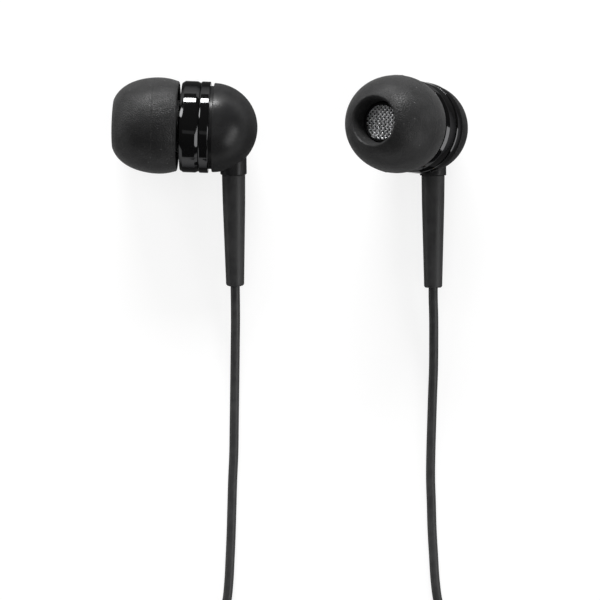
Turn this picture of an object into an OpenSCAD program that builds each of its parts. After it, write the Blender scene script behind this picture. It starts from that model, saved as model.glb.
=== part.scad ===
// Wired in-ear earphones: two round earpieces with soft tips, their cords with a
// sliding cinch and a Y-split, and a straight stereo plug, laid out on a flat surface.
// X runs across the pair, Y runs up from the cords to the earpieces, Z is up from the
// surface. Lengths are in millimetres.

/* [Ear tip] */
// Diameter of the soft tip at its widest
tip_d = 12.3; // [11.5:0.1:14]
// Distance from the lip back to the widest part of the tip
tip_nose = 5.9; // [5:0.1:6.5]
// How far the tip stands ahead of the nozzle
tip_ahead = 1.95; // [1:0.05:3]
// Thickness of the skirt
tip_wall = 0.55; // [0.4:0.05:0.8]
// How far the skirt draws in at its rear rim
tip_tuck = 0.35; // [0.1:0.05:0.6]
// Diameter of the rounded lip round the sound opening
lip_d = 6.3; // [6:0.1:7]
// Radius of the rounding of the lip
lip_r = 0.25; // [0.15:0.05:0.3]
// Wall of the inner sleeve that grips the nozzle
sleeve_wall = 0.7; // [0.4:0.05:0.9]
// Gap between the rear rim of the skirt and the face of the housing
skirt_gap = 0.4; // [0.05:0.05:0.6]
// Gap between the sleeve and the face of the housing
sleeve_gap = 0.3; // [0.1:0.05:0.6]
// Radial clearance between the sleeve and the barb of the nozzle
tip_fit = 0.05; // [0.02:0.01:0.1]

/* [Housing] */
// Wall of the glossy rings round the spigot
ring_wall = 0.68; // [0.6:0.02:1]
// Length of the front ring, from the trim ring to the face
ring_len = 2.4; // [2:0.1:3.5]
// Radius of the shoulder at the front ring's face
shoulder_r = 0.55; // [0.2:0.05:0.8]
// Length of the trim ring
trim_len = 1.25; // [0.8:0.05:2]
// Bevel at the edges of both rings
ring_bevel = 0.08; // [0.04:0.01:0.15]
// Wall of the rear dome
dome_wall = 0.98; // [0.8:0.02:1.2]
// How far the recess beside the dome stands above the spigot
recess_step = 0.16; // [0.1:0.02:0.3]
// Width of that recess
recess_w = 0.4; // [0.2:0.05:0.8]
// Wall of the spigot that carries the rings
spigot_wall = 0.43; // [0.35:0.01:0.5]
// How far the spigot reaches into the front shell
spigot_grip = 1.05; // [0.6:0.05:1.3]
// Clearance in the fits of the shell
shell_fit = 0.02; // [0.01:0.01:0.05]
// Thickness of the front wall behind the face
face_wall = 0.8; // [0.5:0.05:1.1]

/* [Nozzle] */
// Length of the nozzle from the face to its rim
nozzle_len = 6.75; // [6:0.05:8]
// Diameter of the nozzle's stem
nozzle_d = 4.6; // [4.4:0.1:4.8]
// Diameter of the barb that holds the tip
barb_d = 5.1; // [5:0.1:5.3]
// Length of the barb
barb_len = 1.1; // [0.8:0.1:2]
// Diameter of the sound bore
bore_d = 3.8; // [3.2:0.1:4]
// Diameter of the mesh grille
grille_d = 4.5; // [4.3:0.05:4.6]
// Thickness of the mesh grille
grille_t = 0.15; // [0.1:0.01:0.25]
// How far the grille sits behind the nozzle's rim
grille_recess = 0.15; // [0.05:0.05:0.4]
// Distance between the openings of the grille
mesh_pitch = 0.6; // [0.5:0.05:0.65]
// Diameter of each opening of the grille
mesh_hole = 0.36; // [0.2:0.02:0.4]
// Thickness of the acoustic foam behind the grille
foam_t = 0.8; // [0.4:0.1:1.5]

/* [Driver] */
// Outside diameter of the loudspeaker
driver_d = 9; // [8.6:0.1:9.1]
// Clearance round the loudspeaker in the shell
driver_gap = 0.22; // [0.1:0.02:0.25]
// Thickness of the sealing gasket
gasket_t = 0.25; // [0.15:0.05:0.4]
// Thickness of the perforated cover
cover_t = 0.2; // [0.15:0.05:0.3]
// Space between the diaphragm's rim and the cover
cover_room = 0.5; // [0.45:0.05:0.7]
// Wall of the frame outside the diaphragm
rim_wall = 0.42; // [0.3:0.02:0.5]
// Width of the glued rim of the diaphragm
rim_w = 0.33; // [0.2:0.01:0.4]
// Width of the diaphragm's flexible roll
roll_w = 1.16; // [0.9:0.02:1.3]
// Flat ledge between the roll and the voice coil
roll_seat = 0.06; // [0.04:0.01:0.1]
// Flat edge between the roll and the glued rim
roll_edge = 0.07; // [0.04:0.01:0.1]
// Thickness of the diaphragm
film_t = 0.08; // [0.05:0.01:0.12]
// Height of the diaphragm's dome and of its flexible roll
film_rise = 0.3; // [0.15:0.05:0.3]
// Wall of the voice coil
coil_wall = 0.16; // [0.1:0.01:0.2]
// Length of the voice coil
coil_len = 1.02; // [0.7:0.02:1.1]
// Clearance on each side of the voice coil in the magnet's gap
coil_gap = 0.16; // [0.1:0.01:0.2]
// Space between the voice coil's rear end and the flange
coil_room = 0.3; // [0.2:0.05:0.4]
// How far the magnet's edge lies inside the pole plate's
magnet_inset = 0.14; // [0.1:0.02:0.3]
// Thickness of the magnet
magnet_t = 1.2; // [0.8:0.1:1.5]
// Thickness of the pole plate
plate_t = 0.4; // [0.3:0.05:0.6]
// Space between the pole plate and the diaphragm's rim
plate_room = 0.47; // [0.4:0.01:0.6]
// Wall of the steel cup
cup_wall = 0.48; // [0.35:0.01:0.55]
// Thickness of the flange that carries the steel cup
flange_t = 0.3; // [0.2:0.05:0.5]
// Diameter of the vents through that flange
vent_d = 0.5; // [0.3:0.05:0.55]
// Thickness of the felt behind the flange
felt_t = 0.15; // [0.1:0.05:0.3]
// Diameter of the terminal board
board_d = 4.4; // [3.6:0.1:5]
// Thickness of the terminal board
board_t = 0.3; // [0.2:0.05:0.5]
// Height of the solder pads
pad_h = 0.2; // [0.1:0.05:0.3]

/* [Neck and strain relief] */
// Diameter of the neck under the dome
neck_d = 3.4; // [3.2:0.1:3.8]
// How far the neck stands out past the dome's radius
neck_stub = 0.2; // [0.1:0.05:1]
// Distance from the dome's rear to the axis of the neck
neck_inset = 2.88; // [2.7:0.02:3.2]
// Angle of the neck away from the tip
neck_lean = 2.6; // [0:0.2:6]
// Length of the strain relief outside the neck
relief_len = 14.5; // [10:0.5:20]
// Length of its straight upper stretch
relief_straight = 3.5; // [2:0.5:6]
// Diameter of the strain relief at the neck
relief_top_d = 3; // [2.6:0.1:3.2]
// Diameter of the strain relief at the cord
relief_end_d = 2.34; // [2:0.02:2.6]
// Diameter of the stem inside the neck
relief_stem_d = 1.9; // [1.7:0.05:2]
// Length of that stem
stem_len = 2.6; // [2.3:0.05:2.8]
// Diameter of the flange that holds it inside
relief_flange_d = 2.4; // [2.2:0.05:2.5]
// Thickness of that flange
relief_flange_t = 0.4; // [0.3:0.05:0.5]

/* [Cords] */
// Diameter of the cord of each earpiece
branch_d = 1.2; // [1:0.05:1.3]
// Diameter of the main cord
main_d = 1.8; // [1.6:0.05:1.9]
// Gap between neighbouring turns of a coil
turn_gap = 0.45; // [0.43:0.01:0.6]
// Turns of each earpiece's coil
branch_turns = 6.25; // [4.25:1:7.25]
// Radius of the outermost turn of each earpiece's coil
branch_coil_r = 9; // [9:0.1:9.3]
// Turns of the main coil
main_turns = 13; // [9:1:14]
// Radius of the outermost turn of the main coil
main_coil_r = 13.6; // [13:0.1:14]
// Thickness of the straps round the coils
strap_t = 0.3; // [0.2:0.05:0.5]
// Width of those straps
strap_w = 3; // [2:0.5:5]
// Clearance between a strap and its coil
strap_gap = 0.05; // [0.02:0.01:0.1]

/* [Slider and split] */
// Length of the slider
slider_len = 7; // [5:0.5:9]
// Width of the slider
slider_w = 5.8; // [5.4:0.1:7]
// Thickness of the slider
slider_t = 3; // [2.6:0.1:3.1]
// Radius of the slider's rounded ends
slider_round = 0.8; // [0.4:0.1:1]
// Radial clearance of the cords in the slider
slider_fit = 0.08; // [0.04:0.01:0.1]
// Distance between the slider and the split where the slider rests
slider_rest = 1; // [0.5:0.5:3]
// Length of the split
split_len = 12; // [10:1:14]
// Width of the split at the two cords
split_w = 5.6; // [5.2:0.1:7]
// Thickness of the split
split_t = 3.2; // [3:0.1:3.2]
// Distance between the two cords at the slider and the split
pair_pitch = 2.4; // [2.2:0.1:2.8]

/* [Plug] */
// Diameter of the plug's grip
grip_d = 6.6; // [6:0.1:8]
// Length of the plug's grip
grip_len = 16; // [12:0.5:20]
// Radius of the rounding at the ends of the grip
grip_round = 0.9; // [0.4:0.1:1.5]
// Length of the plug's strain relief
tail_len = 11; // [9:0.5:12]
// Diameter of that strain relief at the grip
tail_top_d = 4.2; // [3.6:0.1:4.8]
// Diameter of that strain relief at the cord
tail_end_d = 2.9; // [2.6:0.1:3.2]
// Diameter of the contacts
pin_d = 3.5; // [3.4:0.05:3.6]
// Diameter of the metal collar in front of the grip
collar_d = 5.2; // [4.6:0.1:5.8]
// Thickness of the collar
collar_t = 0.8; // [0.5:0.1:1.2]
// Length of the sleeve contact in front of the collar
sleeve_len = 6.6; // [5:0.1:8]
// Length of the ring contact
contact_len = 2.2; // [1.6:0.1:3]
// Length of the tip contact
point_len = 3.5; // [3:0.1:4]
// Width of each insulating band
band_w = 0.6; // [0.4:0.05:0.9]
// Wall of the tubes nested inside the contacts
nest_wall = 0.24; // [0.2:0.01:0.25]
// Clearance between those tubes
nest_fit = 0.02; // [0.01:0.01:0.03]
// Diameter of the rod of the tip contact
rod_d = 0.9; // [0.7:0.05:1]
// How far the contacts reach into the grip
contact_tail = 4; // [3:0.5:6]
// Length of the bared wires between the cord's end and the tip contact
bared_len = 1.5; // [1:0.1:3]

/* [Resting place] */
// Left earpiece: place of the dome's centre along X
left_x = -9.96; // [-14:0.02:-6]
// Left earpiece: place of the dome's centre along Y
left_y = 7.05; // [0:0.05:14]
// Left earpiece: turn about the vertical, in degrees
left_turn = -2.1; // [-10:0.1:10]
// Left earpiece: roll that lowers its neck, in degrees
left_roll = -10; // [-16:1:0]
// Right earpiece: place of the dome's centre along X
right_x = 17; // [12:0.05:22]
// Right earpiece: place of the dome's centre along Y
right_y = 7; // [0:0.05:14]
// Right earpiece: turn about the vertical, in degrees
right_turn = -1.2; // [-10:0.1:10]
// Right earpiece: angle of its axis from the vertical, in degrees
right_lean = 32; // [20:1:50]
// Turn of the plug about the vertical, away from the pair, in degrees
plug_turn = -13; // [-16:1:-11]

/* [Hidden] */
SIDES = ["left", "right"];
EARPIECE = [
    "ear_tip", "front_shell", "nozzle_grille", "nozzle_foam", "trim_ring", "rear_shell",
    "strain_relief", "cord_knot", "driver_gasket", "driver_cover", "diaphragm",
    "voice_coil", "pole_plate", "magnet", "steel_cup", "driver_frame", "rear_felt",
    "terminal_board", "lead_wires", "cord", "coil", "tail", "tie"
];
TRUNK = [
    "cord_slider", "y_split", "main_start", "main_coil", "main_end", "main_tie",
    "plug_grip", "plug_relief", "plug_cord", "plug_sleeve", "plug_ring", "plug_tip",
    "plug_insulators"
];

// Smoothness of round parts, and of parts with a fine or freely curved outline
round_fn = 48;
fine_fn = 96;

// Radii of the housing, built up round the loudspeaker
cavity_r = driver_d / 2 + driver_gap;
dome_r = cavity_r + dome_wall;
spigot_r = cavity_r + spigot_wall;
recess_r = spigot_r + recess_step;
socket_r = spigot_r + shell_fit;
ring_r = socket_r + ring_wall;

// Stations along the axis of an earpiece, whose origin is the centre of the dome
trim_front = recess_w + trim_len;
face = trim_front + ring_len;
inner_face = face - face_wall;
spigot_end = trim_front + spigot_grip;
nozzle_rim = face + nozzle_len;
grille_front = nozzle_rim - grille_recess;
grille_back = grille_front - grille_t;
lip = nozzle_rim + tip_ahead;
widest = lip - tip_nose;
skirt_rear = face + skirt_gap;
sleeve_rear = face + sleeve_gap;

// Radii of the ear tip; the nose follows a superellipse that runs into the lip
tip_r = tip_d / 2;
sleeve_in = barb_d / 2 + tip_fit;
sleeve_out = sleeve_in + sleeve_wall;
nose_power = 3.2;
lip_turn = 65;
lip_edge = lip_d / 2 + lip_r * cos(lip_turn);
nose_reach = (tip_nose - lip_r * (1 - sin(lip_turn))) / sqrt(1 - pow(lip_edge / tip_r, nose_power));

// The loudspeaker, from its front towards the back of the earpiece
cover_front = inner_face - gasket_t;
film = cover_front - cover_t - cover_room - film_t;
rim_out = driver_d / 2 - rim_wall;
rim_in = rim_out - rim_w;
coil_out = rim_in - roll_edge - roll_w - roll_seat;
coil_in = coil_out - coil_wall;
coil_rear = film - coil_len;
pole_r = coil_in - coil_gap;
magnet_r = pole_r - magnet_inset;
cup_in = coil_out + coil_gap;
cup_out = cup_in + cup_wall;
plate_front = film - plate_room;
magnet_front = plate_front - plate_t;
cup_floor = magnet_front - magnet_t;
cup_rear = cup_floor - cup_wall;
board_rear = cup_rear - board_t;
pads_rear = board_rear - pad_h;
flange_front = coil_rear - coil_room;
flange_rear = flange_front - flange_t;

// The neck, and the cord's end inside the dome, measured from the neck's end
neck_reach = dome_r + neck_stub;
neck_back = dome_r - neck_inset;
knot_wire = 0.45;
knot_ring = 0.62;
knot_at = stem_len + relief_flange_t + knot_wire;
cord_in = stem_len + relief_flange_t + 2 * knot_wire + 0.1;
wire_d = 0.24;
wire_pitch = 0.7;
cord_fit = 0.05;

// Heights of the two dome centres, so that each earpiece just touches the surface
left_z = tip_d / 2;
right_z = dome_r;

// Coils lie on their straps, with every turn one cord and one gap from the next
branch_pitch = branch_d + turn_gap;
main_pitch = main_d + turn_gap;
branch_layers = 2;
main_layers = 4;
coil_lift = strap_t + strap_gap;
branch_low = coil_lift + branch_d / 2;
branch_high = branch_low + (branch_layers - 1) * branch_pitch;
main_low = coil_lift + main_d / 2;
main_high = main_low + (main_layers - 1) * main_pitch;
loop_rings = 24;
coil_sides = 6;
cord_sides = 8;

// Middle line of the paired cords, and places of what lies along it
mid_x = 5.4;
pair_z = split_t / 2;
branch_coil_x = [-4.7, 15.5];
branch_coil_y = -67;
split_top = -101;
split_end = split_top - split_len;
main_coil_x = mid_x - main_coil_r;
main_coil_y = -125;
plug_mouth = [14.5, -128.5, grip_d / 2];
plug_way = [-sin(plug_turn), cos(plug_turn), 0];

// Routes of the free stretches of cord, between the straight runs at their ends
left_route = [
    [-7.2, -17.5, 1.9], [-7.25, -21, 1.3], [-7.3, -24.5, 0.85], [-7.35, -28, 0.62],
    [-7.4, -31.5, 0.6], [-7.45, -35, 0.6], [-7.6, -38.5, 0.6], [-7.7, -42, 0.6],
    [-7.8, -45.5, 0.6], [-7.95, -49, 0.6], [-8.1, -51.8, 0.6], [-8.45, -54.6, 0.6],
    [-9.6, -57.4, 0.6], [-11.5, -60.1, 0.65], [-13.1, -62.8, 0.8]
];
right_route = [
    [18.5, -17, 2.4], [18.55, -20.5, 1.75], [18.55, -24, 1.15], [18.45, -27.5, 0.75],
    [18.35, -31, 0.6], [18.25, -34.5, 0.6], [18.2, -38, 0.6], [18.3, -41.5, 0.6],
    [18.4, -45, 0.6], [18.6, -48.5, 0.6], [18.8, -51.6, 0.6], [19.25, -54.6, 0.6],
    [20.4, -57.4, 0.6], [22.3, -60.1, 0.65], [23.9, -62.8, 0.8]
];
// The run from each coil to the split, for the left cord; the right one mirrors it
tail_route = [
    [-1.8, -76, 2.5], [0.5, -76.5, 2.3], [2.4, -77.8, 2.05], [3.75, -79.7, 1.8],
    [4.2, -82, 1.62], [4.2, -85.5, 1.6], [4.2, -89.5, 1.6], [4.2, -93.5, 1.6],
    [4.2, -97.5, 1.6]
];
main_start_route = [[5.4, -116, 1.5], [5.4, -119.5, 1.35]];
main_end_route = [
    [5.4, -130.2, 7.75], [5.4, -133.4, 7.2], [6, -135.9, 6.65], [7.4, -137.4, 6.1],
    [9.4, -137.9, 5.55], [11.4, -137.3, 4.95], [12.75, -135.8, 4.3],
    plug_mouth - 5.6 * plug_way + [0, 0, 0.35], plug_mouth - 2.6 * plug_way + [0, 0, 0.05]
];

// ---- Shared shapes ----

function unit(v) = v / norm(v);

// Points of an arc in a profile, from angle a to angle b
function arc(x, y, r, a, b, steps = 8) =
    [for (i = [0:steps]) let (t = a + (b - a) * i / steps) [x + r * cos(t), y + r * sin(t)]];

// A solid of revolution about Z from its profile of [radius, height] points
module turned(profile) {
    rotate_extrude($fn = fine_fn) polygon(profile);
}

// A plain turned tube
module tube(r_in, r_out, low, high) {
    turned([[r_in, low], [r_out, low], [r_out, high], [r_in, high]]);
}

// A round hole or peg along Z
module rod(r, low, high) {
    translate([0, 0, low]) cylinder(r = r, h = high - low, $fn = round_fn);
}

// Copies of its children on a circle
module around(count, radius) {
    for (i = [0:count - 1]) rotate([0, 0, 360 * i / count]) translate([radius, 0, 0]) children();
}

// Centres of a hexagonal pattern with the given number of rings
function hexagon_grid(rings, pitch) =
    [for (i = [-rings:rings], j = [-rings:rings]) if (abs(i + j) <= rings)
        [pitch * (i + j / 2), pitch * j * sqrt(3) / 2]];

// ---- Places ----

// The frame of an earpiece: +Z towards the tip, -Y towards the neck
module earpiece(side) {
    if (side == "left") {
        translate([left_x, left_y, left_z])
            rotate([0, 0, left_turn]) rotate([0, -90, 0]) rotate([0, 0, left_roll]) children();
    } else {
        translate([right_x, right_y, right_z])
            rotate([0, 0, right_turn]) rotate([0, -right_lean, 0]) children();
    }
}

// The frame of the neck: its origin at the neck's end, +Z out along the strain relief
module neck() {
    translate([0, -neck_reach, -neck_back]) rotate([90 + neck_lean, 0, 0]) children();
}

// The frame of the plug: its origin where the collar meets the grip, +Z to the point
module plug() {
    translate(plug_mouth) rotate([0, 0, plug_turn]) rotate([-90, 0, 0])
        translate([0, 0, tail_len + grip_len]) children();
}

// The same two frames as matrices, for the points where cords begin
function turn_x(a) = [[1, 0, 0], [0, cos(a), -sin(a)], [0, sin(a), cos(a)]];
function turn_y(a) = [[cos(a), 0, sin(a)], [0, 1, 0], [-sin(a), 0, cos(a)]];
function turn_z(a) = [[cos(a), -sin(a), 0], [sin(a), cos(a), 0], [0, 0, 1]];
function earpiece_turn(side) = side == "left"
    ? turn_z(left_turn) * turn_y(-90) * turn_z(left_roll)
    : turn_z(right_turn) * turn_y(-right_lean);
function earpiece_at(side) = side == "left" ? [left_x, left_y, left_z] : [right_x, right_y, right_z];
function relief_way(side) = earpiece_turn(side) * turn_x(90 + neck_lean) * [0, 0, 1];
function relief_mouth(side) =
    earpiece_at(side) + earpiece_turn(side) * [0, -neck_reach, -neck_back]
    + relief_len * relief_way(side);

// ---- Ear tip and nozzle ----

// Distance of the nose ahead of the widest plane, at radius r, for a skin set in by inset
function nose(r, inset) =
    (nose_reach - 1.3 * inset) * sqrt(max(0, 1 - pow(r / (tip_r - inset), nose_power)));
// Radius of the skirt at a share t of the way from the widest plane to the rear rim
function skirt(t) = tip_r - tip_tuck * t * t;
// Radii from the widest one down to the given one, closer together near the widest
function nose_radii(inset, least, steps = 14) =
    [for (i = [0:steps]) (tip_r - inset) - (tip_r - inset - least) * pow(i / steps, 1.8)];

module ear_tip() {
    rim_r = tip_wall / 2;
    back = widest - (skirt_rear + rim_r);
    outside = [for (r = nose_radii(0, lip_edge)) [r, widest + nose(r, 0)]];
    inside = [for (r = nose_radii(tip_wall, sleeve_out + 0.1)) [r, widest + nose(r, tip_wall)]];
    skirt_out = [for (i = [8:-1:1]) [skirt(i / 8), widest - back * i / 8]];
    skirt_in = [for (i = [1:8]) [skirt(i / 8) - tip_wall, widest - back * i / 8]];
    color("#26272a") turned(concat(
        [[sleeve_in, sleeve_rear], [sleeve_in, nozzle_rim + 0.05]],
        arc(lip_d / 2, lip - lip_r, lip_r, 180, lip_turn + 12),
        [for (i = [len(outside) - 1:-1:0]) outside[i]],
        [for (i = [len(skirt_out) - 1:-1:0]) skirt_out[i]],
        arc(skirt(1) - rim_r, skirt_rear + rim_r, rim_r, -20, -160, 6),
        [for (i = [len(skirt_in) - 1:-1:0]) skirt_in[i]],
        inside,
        [[sleeve_out, widest + nose(sleeve_out + 0.1, tip_wall) - 0.2], [sleeve_out, sleeve_rear]]
    ));
}

module front_shell() {
    r = ring_r;
    barb_rear = nozzle_rim - barb_len;
    step = (barb_d - nozzle_d) / 2;
    grille_r = grille_d / 2 + shell_fit;
    color("#111214") turned(concat(
        [[bore_d / 2, inner_face], [bore_d / 2, grille_back], [grille_r, grille_back]],
        [[grille_r, nozzle_rim], [barb_d / 2 - 0.1, nozzle_rim], [barb_d / 2, nozzle_rim - 0.15]],
        [[barb_d / 2, barb_rear], [nozzle_d / 2, barb_rear - 2 * step], [nozzle_d / 2, face]],
        arc(r - shoulder_r, face - shoulder_r, shoulder_r, 90, 0),
        [[r, trim_front + ring_bevel], [r - ring_bevel, trim_front], [socket_r, trim_front]],
        [[socket_r, spigot_end + shell_fit], [cavity_r, spigot_end + shell_fit]],
        [[cavity_r, inner_face]]
    ));
}

module nozzle_grille() {
    reach = grille_d / 2 - mesh_hole / 2 - 0.15;
    rings = floor(reach / mesh_pitch);
    color("#9a9c9f") difference() {
        rod(grille_d / 2, grille_back, grille_front);
        for (p = hexagon_grid(rings, mesh_pitch)) translate(p)
            rod(mesh_hole / 2, grille_back - 1, grille_front + 1);
    }
}

module nozzle_foam() {
    color("#3a3a3c") rod(bore_d / 2 - shell_fit, grille_back - foam_t, grille_back);
}

// ---- Housing ----

module trim_ring() {
    r = ring_r;
    in = socket_r;
    color("#111214") turned([
        [in, recess_w], [r - ring_bevel, recess_w], [r, recess_w + ring_bevel],
        [r, trim_front - ring_bevel], [r - ring_bevel, trim_front], [in, trim_front]
    ]);
}

module rear_shell() {
    pocket_r = relief_flange_d / 2 + cord_fit;
    color("#1b1c1e") difference() {
        union() {
            difference() {
                sphere(r = dome_r, $fn = fine_fn);
                translate([-dome_r - 1, -dome_r - 1, 0]) cube([2 * dome_r + 2, 2 * dome_r + 2, dome_r + 1]);
            }
            rod(recess_r, 0, recess_w);
            rod(spigot_r, 0, spigot_end);
            neck() rod(neck_d / 2, -stem_len, 0);
        }
        difference() {
            union() {
                sphere(r = cavity_r, $fn = fine_fn);
                rod(cavity_r, 0, spigot_end + 1);
            }
            neck() rod(neck_d / 2, -stem_len, 0);
        }
        neck() rod(pocket_r, -neck_reach, -stem_len);
        neck() rod(relief_stem_d / 2 + shell_fit, -stem_len - 1, 1);
    }
}

module strain_relief() {
    top = relief_top_d / 2;
    end = relief_end_d / 2;
    stem = relief_stem_d / 2;
    flange = relief_flange_d / 2;
    hole = branch_d / 2 + cord_fit;
    color("#232427") neck() turned(concat(
        [[hole, -stem_len - relief_flange_t], [flange, -stem_len - relief_flange_t]],
        [[flange, -stem_len], [stem, -stem_len], [stem, 0], [top - 0.1, 0], [top, 0.15]],
        [[top * 0.97, relief_straight]],
        arc(end - 0.3, relief_len - 0.3, 0.3, 0, 90, 5),
        [[hole, relief_len]]
    ));
}

// The cord's inner end: through the strain relief and tied in a knot behind its flange
module cord_knot() {
    color("#1c1d1f") neck() {
        rod(branch_d / 2, -cord_in, relief_len);
        translate([0, 0, -knot_at]) rotate_extrude($fn = round_fn)
            translate([knot_ring, 0]) circle(r = knot_wire, $fn = 32);
    }
}

// ---- Loudspeaker ----

module driver_gasket() {
    color("#4a4a4c") tube(rim_in, driver_d / 2, cover_front, inner_face);
}

module driver_cover() {
    back = cover_front - cover_t;
    color("#b9bbbe") difference() {
        union() {
            rod(driver_d / 2, back, cover_front);
            tube(rim_in, rim_out - shell_fit, film + film_t, back);
        }
        rod(0.5, back - 1, cover_front + 1);
        around(6, 1.7) rod(0.4, back - 1, cover_front + 1);
    }
}

// A thin film: glued rim, flexible roll, flat seat for the voice coil, central dome
function film_at(r) =
    let (cap_r = coil_in - 0.02, roll_in = coil_out + roll_seat)
    r < cap_r ? film_rise * cos(90 * r / cap_r)
    : r < roll_in ? 0
    : r < roll_in + roll_w ? film_rise * sin(180 * (r - roll_in) / roll_w)
    : 0;

module diaphragm() {
    steps = 48;
    rs = [for (i = [0:steps]) rim_out * i / steps];
    color("#c9a35a") turned(concat(
        [for (r = rs) [r, film + film_at(r)]],
        [for (i = [steps:-1:0]) [rs[i], film + film_at(rs[i]) + film_t]]
    ));
}

module voice_coil() {
    color("#b8692e") tube(coil_in, coil_out, coil_rear, film);
}

module pole_plate() {
    color("#8f9295") rod(pole_r, magnet_front, plate_front);
}

module magnet() {
    color("#6d7074") rod(magnet_r, cup_floor, magnet_front);
}

module steel_cup() {
    color("#a2a5a8") turned([
        [0, cup_rear], [cup_out, cup_rear], [cup_out, plate_front], [cup_in, plate_front],
        [cup_in, cup_floor], [0, cup_floor]
    ]);
}

module driver_frame() {
    seat = cup_out + shell_fit;
    color("#2c2d30") difference() {
        turned([
            [seat, flange_rear], [driver_d / 2, flange_rear],
            [driver_d / 2, cover_front - cover_t], [rim_out, cover_front - cover_t],
            [rim_out, film], [rim_in, film], [rim_in, flange_front], [seat, flange_front]
        ]);
        around(6, (seat + rim_in) / 2) rod(vent_d / 2, flange_rear - 1, flange_front + 1);
    }
}

module rear_felt() {
    color("#d8d5cc") tube(cup_out + 0.1, driver_d / 2 - 0.1, flange_rear - felt_t, flange_rear);
}

module terminal_board() {
    turn_r = neck_turn_r();
    color("#2f6b3f") union() {
        rod(board_d / 2, board_rear, cup_rear);
        for (x = [-1, 1]) translate([x * wire_pitch / 2, wire_end_y() + turn_r, 0])
            rod(0.25, pads_rear, board_rear);
    }
}

// Where the two wires leave the cord, and the radius of their turn towards the board
function wire_end_y() = -neck_reach + cord_in * cos(neck_lean);
function wire_end_z() = -neck_back + cord_in * sin(neck_lean);
function neck_turn_r() = pads_rear - wire_end_z();

module lead_wires() {
    for (x = [-1, 1]) color(x < 0 ? "#a33a2c" : "#3f7d4b")
        translate([x * wire_pitch / 2, wire_end_y(), pads_rear]) rotate([0, 90, 0])
            rotate_extrude(angle = 90, $fn = round_fn)
                translate([neck_turn_r(), 0]) circle(r = wire_d / 2, $fn = 16);
}

// ---- Cords ----

// One ring of a swept cord: its corners round point p, square to the way it runs
function ring(p, way, r, sides, twist) =
    let (side = unit(cross(way, [0, 0, 1])), up = cross(side, way))
    [for (k = [0:sides - 1]) let (a = twist + 360 * k / sides)
        p + r * (cos(a) * side + sin(a) * up)];

// Directions along a path; the first and the last are given
function ways(path, first, last) = let (n = len(path) - 1)
    [for (i = [0:n]) i == 0 ? first : i == n ? last
        : unit(unit(path[i + 1] - path[i]) + unit(path[i] - path[i - 1]))];

// A closed tube along a path, of triangles only
module swept(path, first, last, d, sides, twist = 0) {
    n = len(path) - 1;
    way = ways(path, first, last);
    points = [for (i = [0:n]) each ring(path[i], way[i], d / 2, sides, twist)];
    wall = [for (i = [0:n - 1], k = [0:sides - 1])
        let (a = i * sides + k, b = i * sides + (k + 1) % sides)
        each [[a, b, b + sides], [a, b + sides, a + sides]]];
    near_cap = [for (k = [1:sides - 2]) [0, k + 1, k]];
    far_cap = [for (k = [1:sides - 2]) [n * sides, n * sides + k, n * sides + k + 1]];
    polyhedron(points = points, faces = concat(wall, near_cap, far_cap));
}

// Height of a coil after u turns: a climb in the half turn round each reversal
function climb(u, turns, layers, pitch) = let (per = turns / layers)
    layers < 2 ? 0 : pitch * vsum([for (j = [1:layers - 1])
        let (t = min(1, max(0, (u - j * per) * 2 + 0.5))) (1 - cos(180 * t)) / 2]);
function vsum(v, i = 0) = i < len(v) ? v[i] + vsum(v, i + 1) : 0;

// Radius of a coil after u turns: spiralling in on even layers and out on odd ones
function coil_radius(u, turns, layers, pitch, r_out) =
    let (per = turns / layers, k = min(layers - 1, floor(u / per)), w = u - k * per)
    r_out - pitch * (k % 2 == 0 ? w : per - w);

function coil_path(center, z, r_out, pitch, turns, layers, start, spin) =
    [for (i = [0:round(turns * loop_rings)])
        let (u = i / loop_rings, a = start + spin * 360 * u)
        let (r = coil_radius(u, turns, layers, pitch, r_out))
        [center[0] + r * cos(a), center[1] + r * sin(a), z + climb(u, turns, layers, pitch)]];

// Least gap between stretches of a coil that are at least half a turn apart
function least_gap(path, d) = min([
    for (i = [0:len(path) - 1], j = [i + loop_rings / 2:1:len(path) - 1])
        norm(path[i] - path[j])
]) - d;

// A coil of cord in one tube, with a straight run one diameter long at each end
module coil(name, d, path, first, last) {
    n = len(path) - 1;
    echo(str(name, ": least gap between turns ", least_gap(path, d), " mm"));
    whole = concat([path[0] - d * first], path, [path[n] + d * last]);
    swept(whole, first, last, d, coil_sides);
}

// Length of a path
function path_length(path, i = 1) =
    i < len(path) ? norm(path[i] - path[i - 1]) + path_length(path, i + 1) : 0;

// Each earpiece's coil starts at its outer side and leaves at its bottom
function side_sign(side) = side == "left" ? -1 : 1;
function branch_centre(side) = [branch_coil_x[side == "left" ? 0 : 1], branch_coil_y];
function branch_path(side) = coil_path(
    branch_centre(side), branch_low, branch_coil_r, branch_pitch,
    branch_turns, branch_layers, side == "left" ? 180 : 0, -side_sign(side)
);
function main_path() = coil_path(
    [main_coil_x, main_coil_y], main_low, main_coil_r, main_pitch,
    main_turns, main_layers, 0, -1
);
function mirrored(path) = [for (p = path) [2 * mid_x - p[0], p[1], p[2]]];

module cord(side) {
    way = relief_way(side);
    mouth = relief_mouth(side);
    start = branch_path(side)[0] + [0, branch_d, 0];
    route = side == "left" ? left_route : right_route;
    color("#1c1d1f") swept(
        concat([mouth, mouth + branch_d * way], route, [start]),
        way, [0, -1, 0], branch_d, cord_sides, 22.5
    );
}

module branch_coil(side) {
    color("#1c1d1f") coil(
        str(side, " coil"), branch_d, branch_path(side), [0, -1, 0], [-side_sign(side), 0, 0]
    );
}

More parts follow.
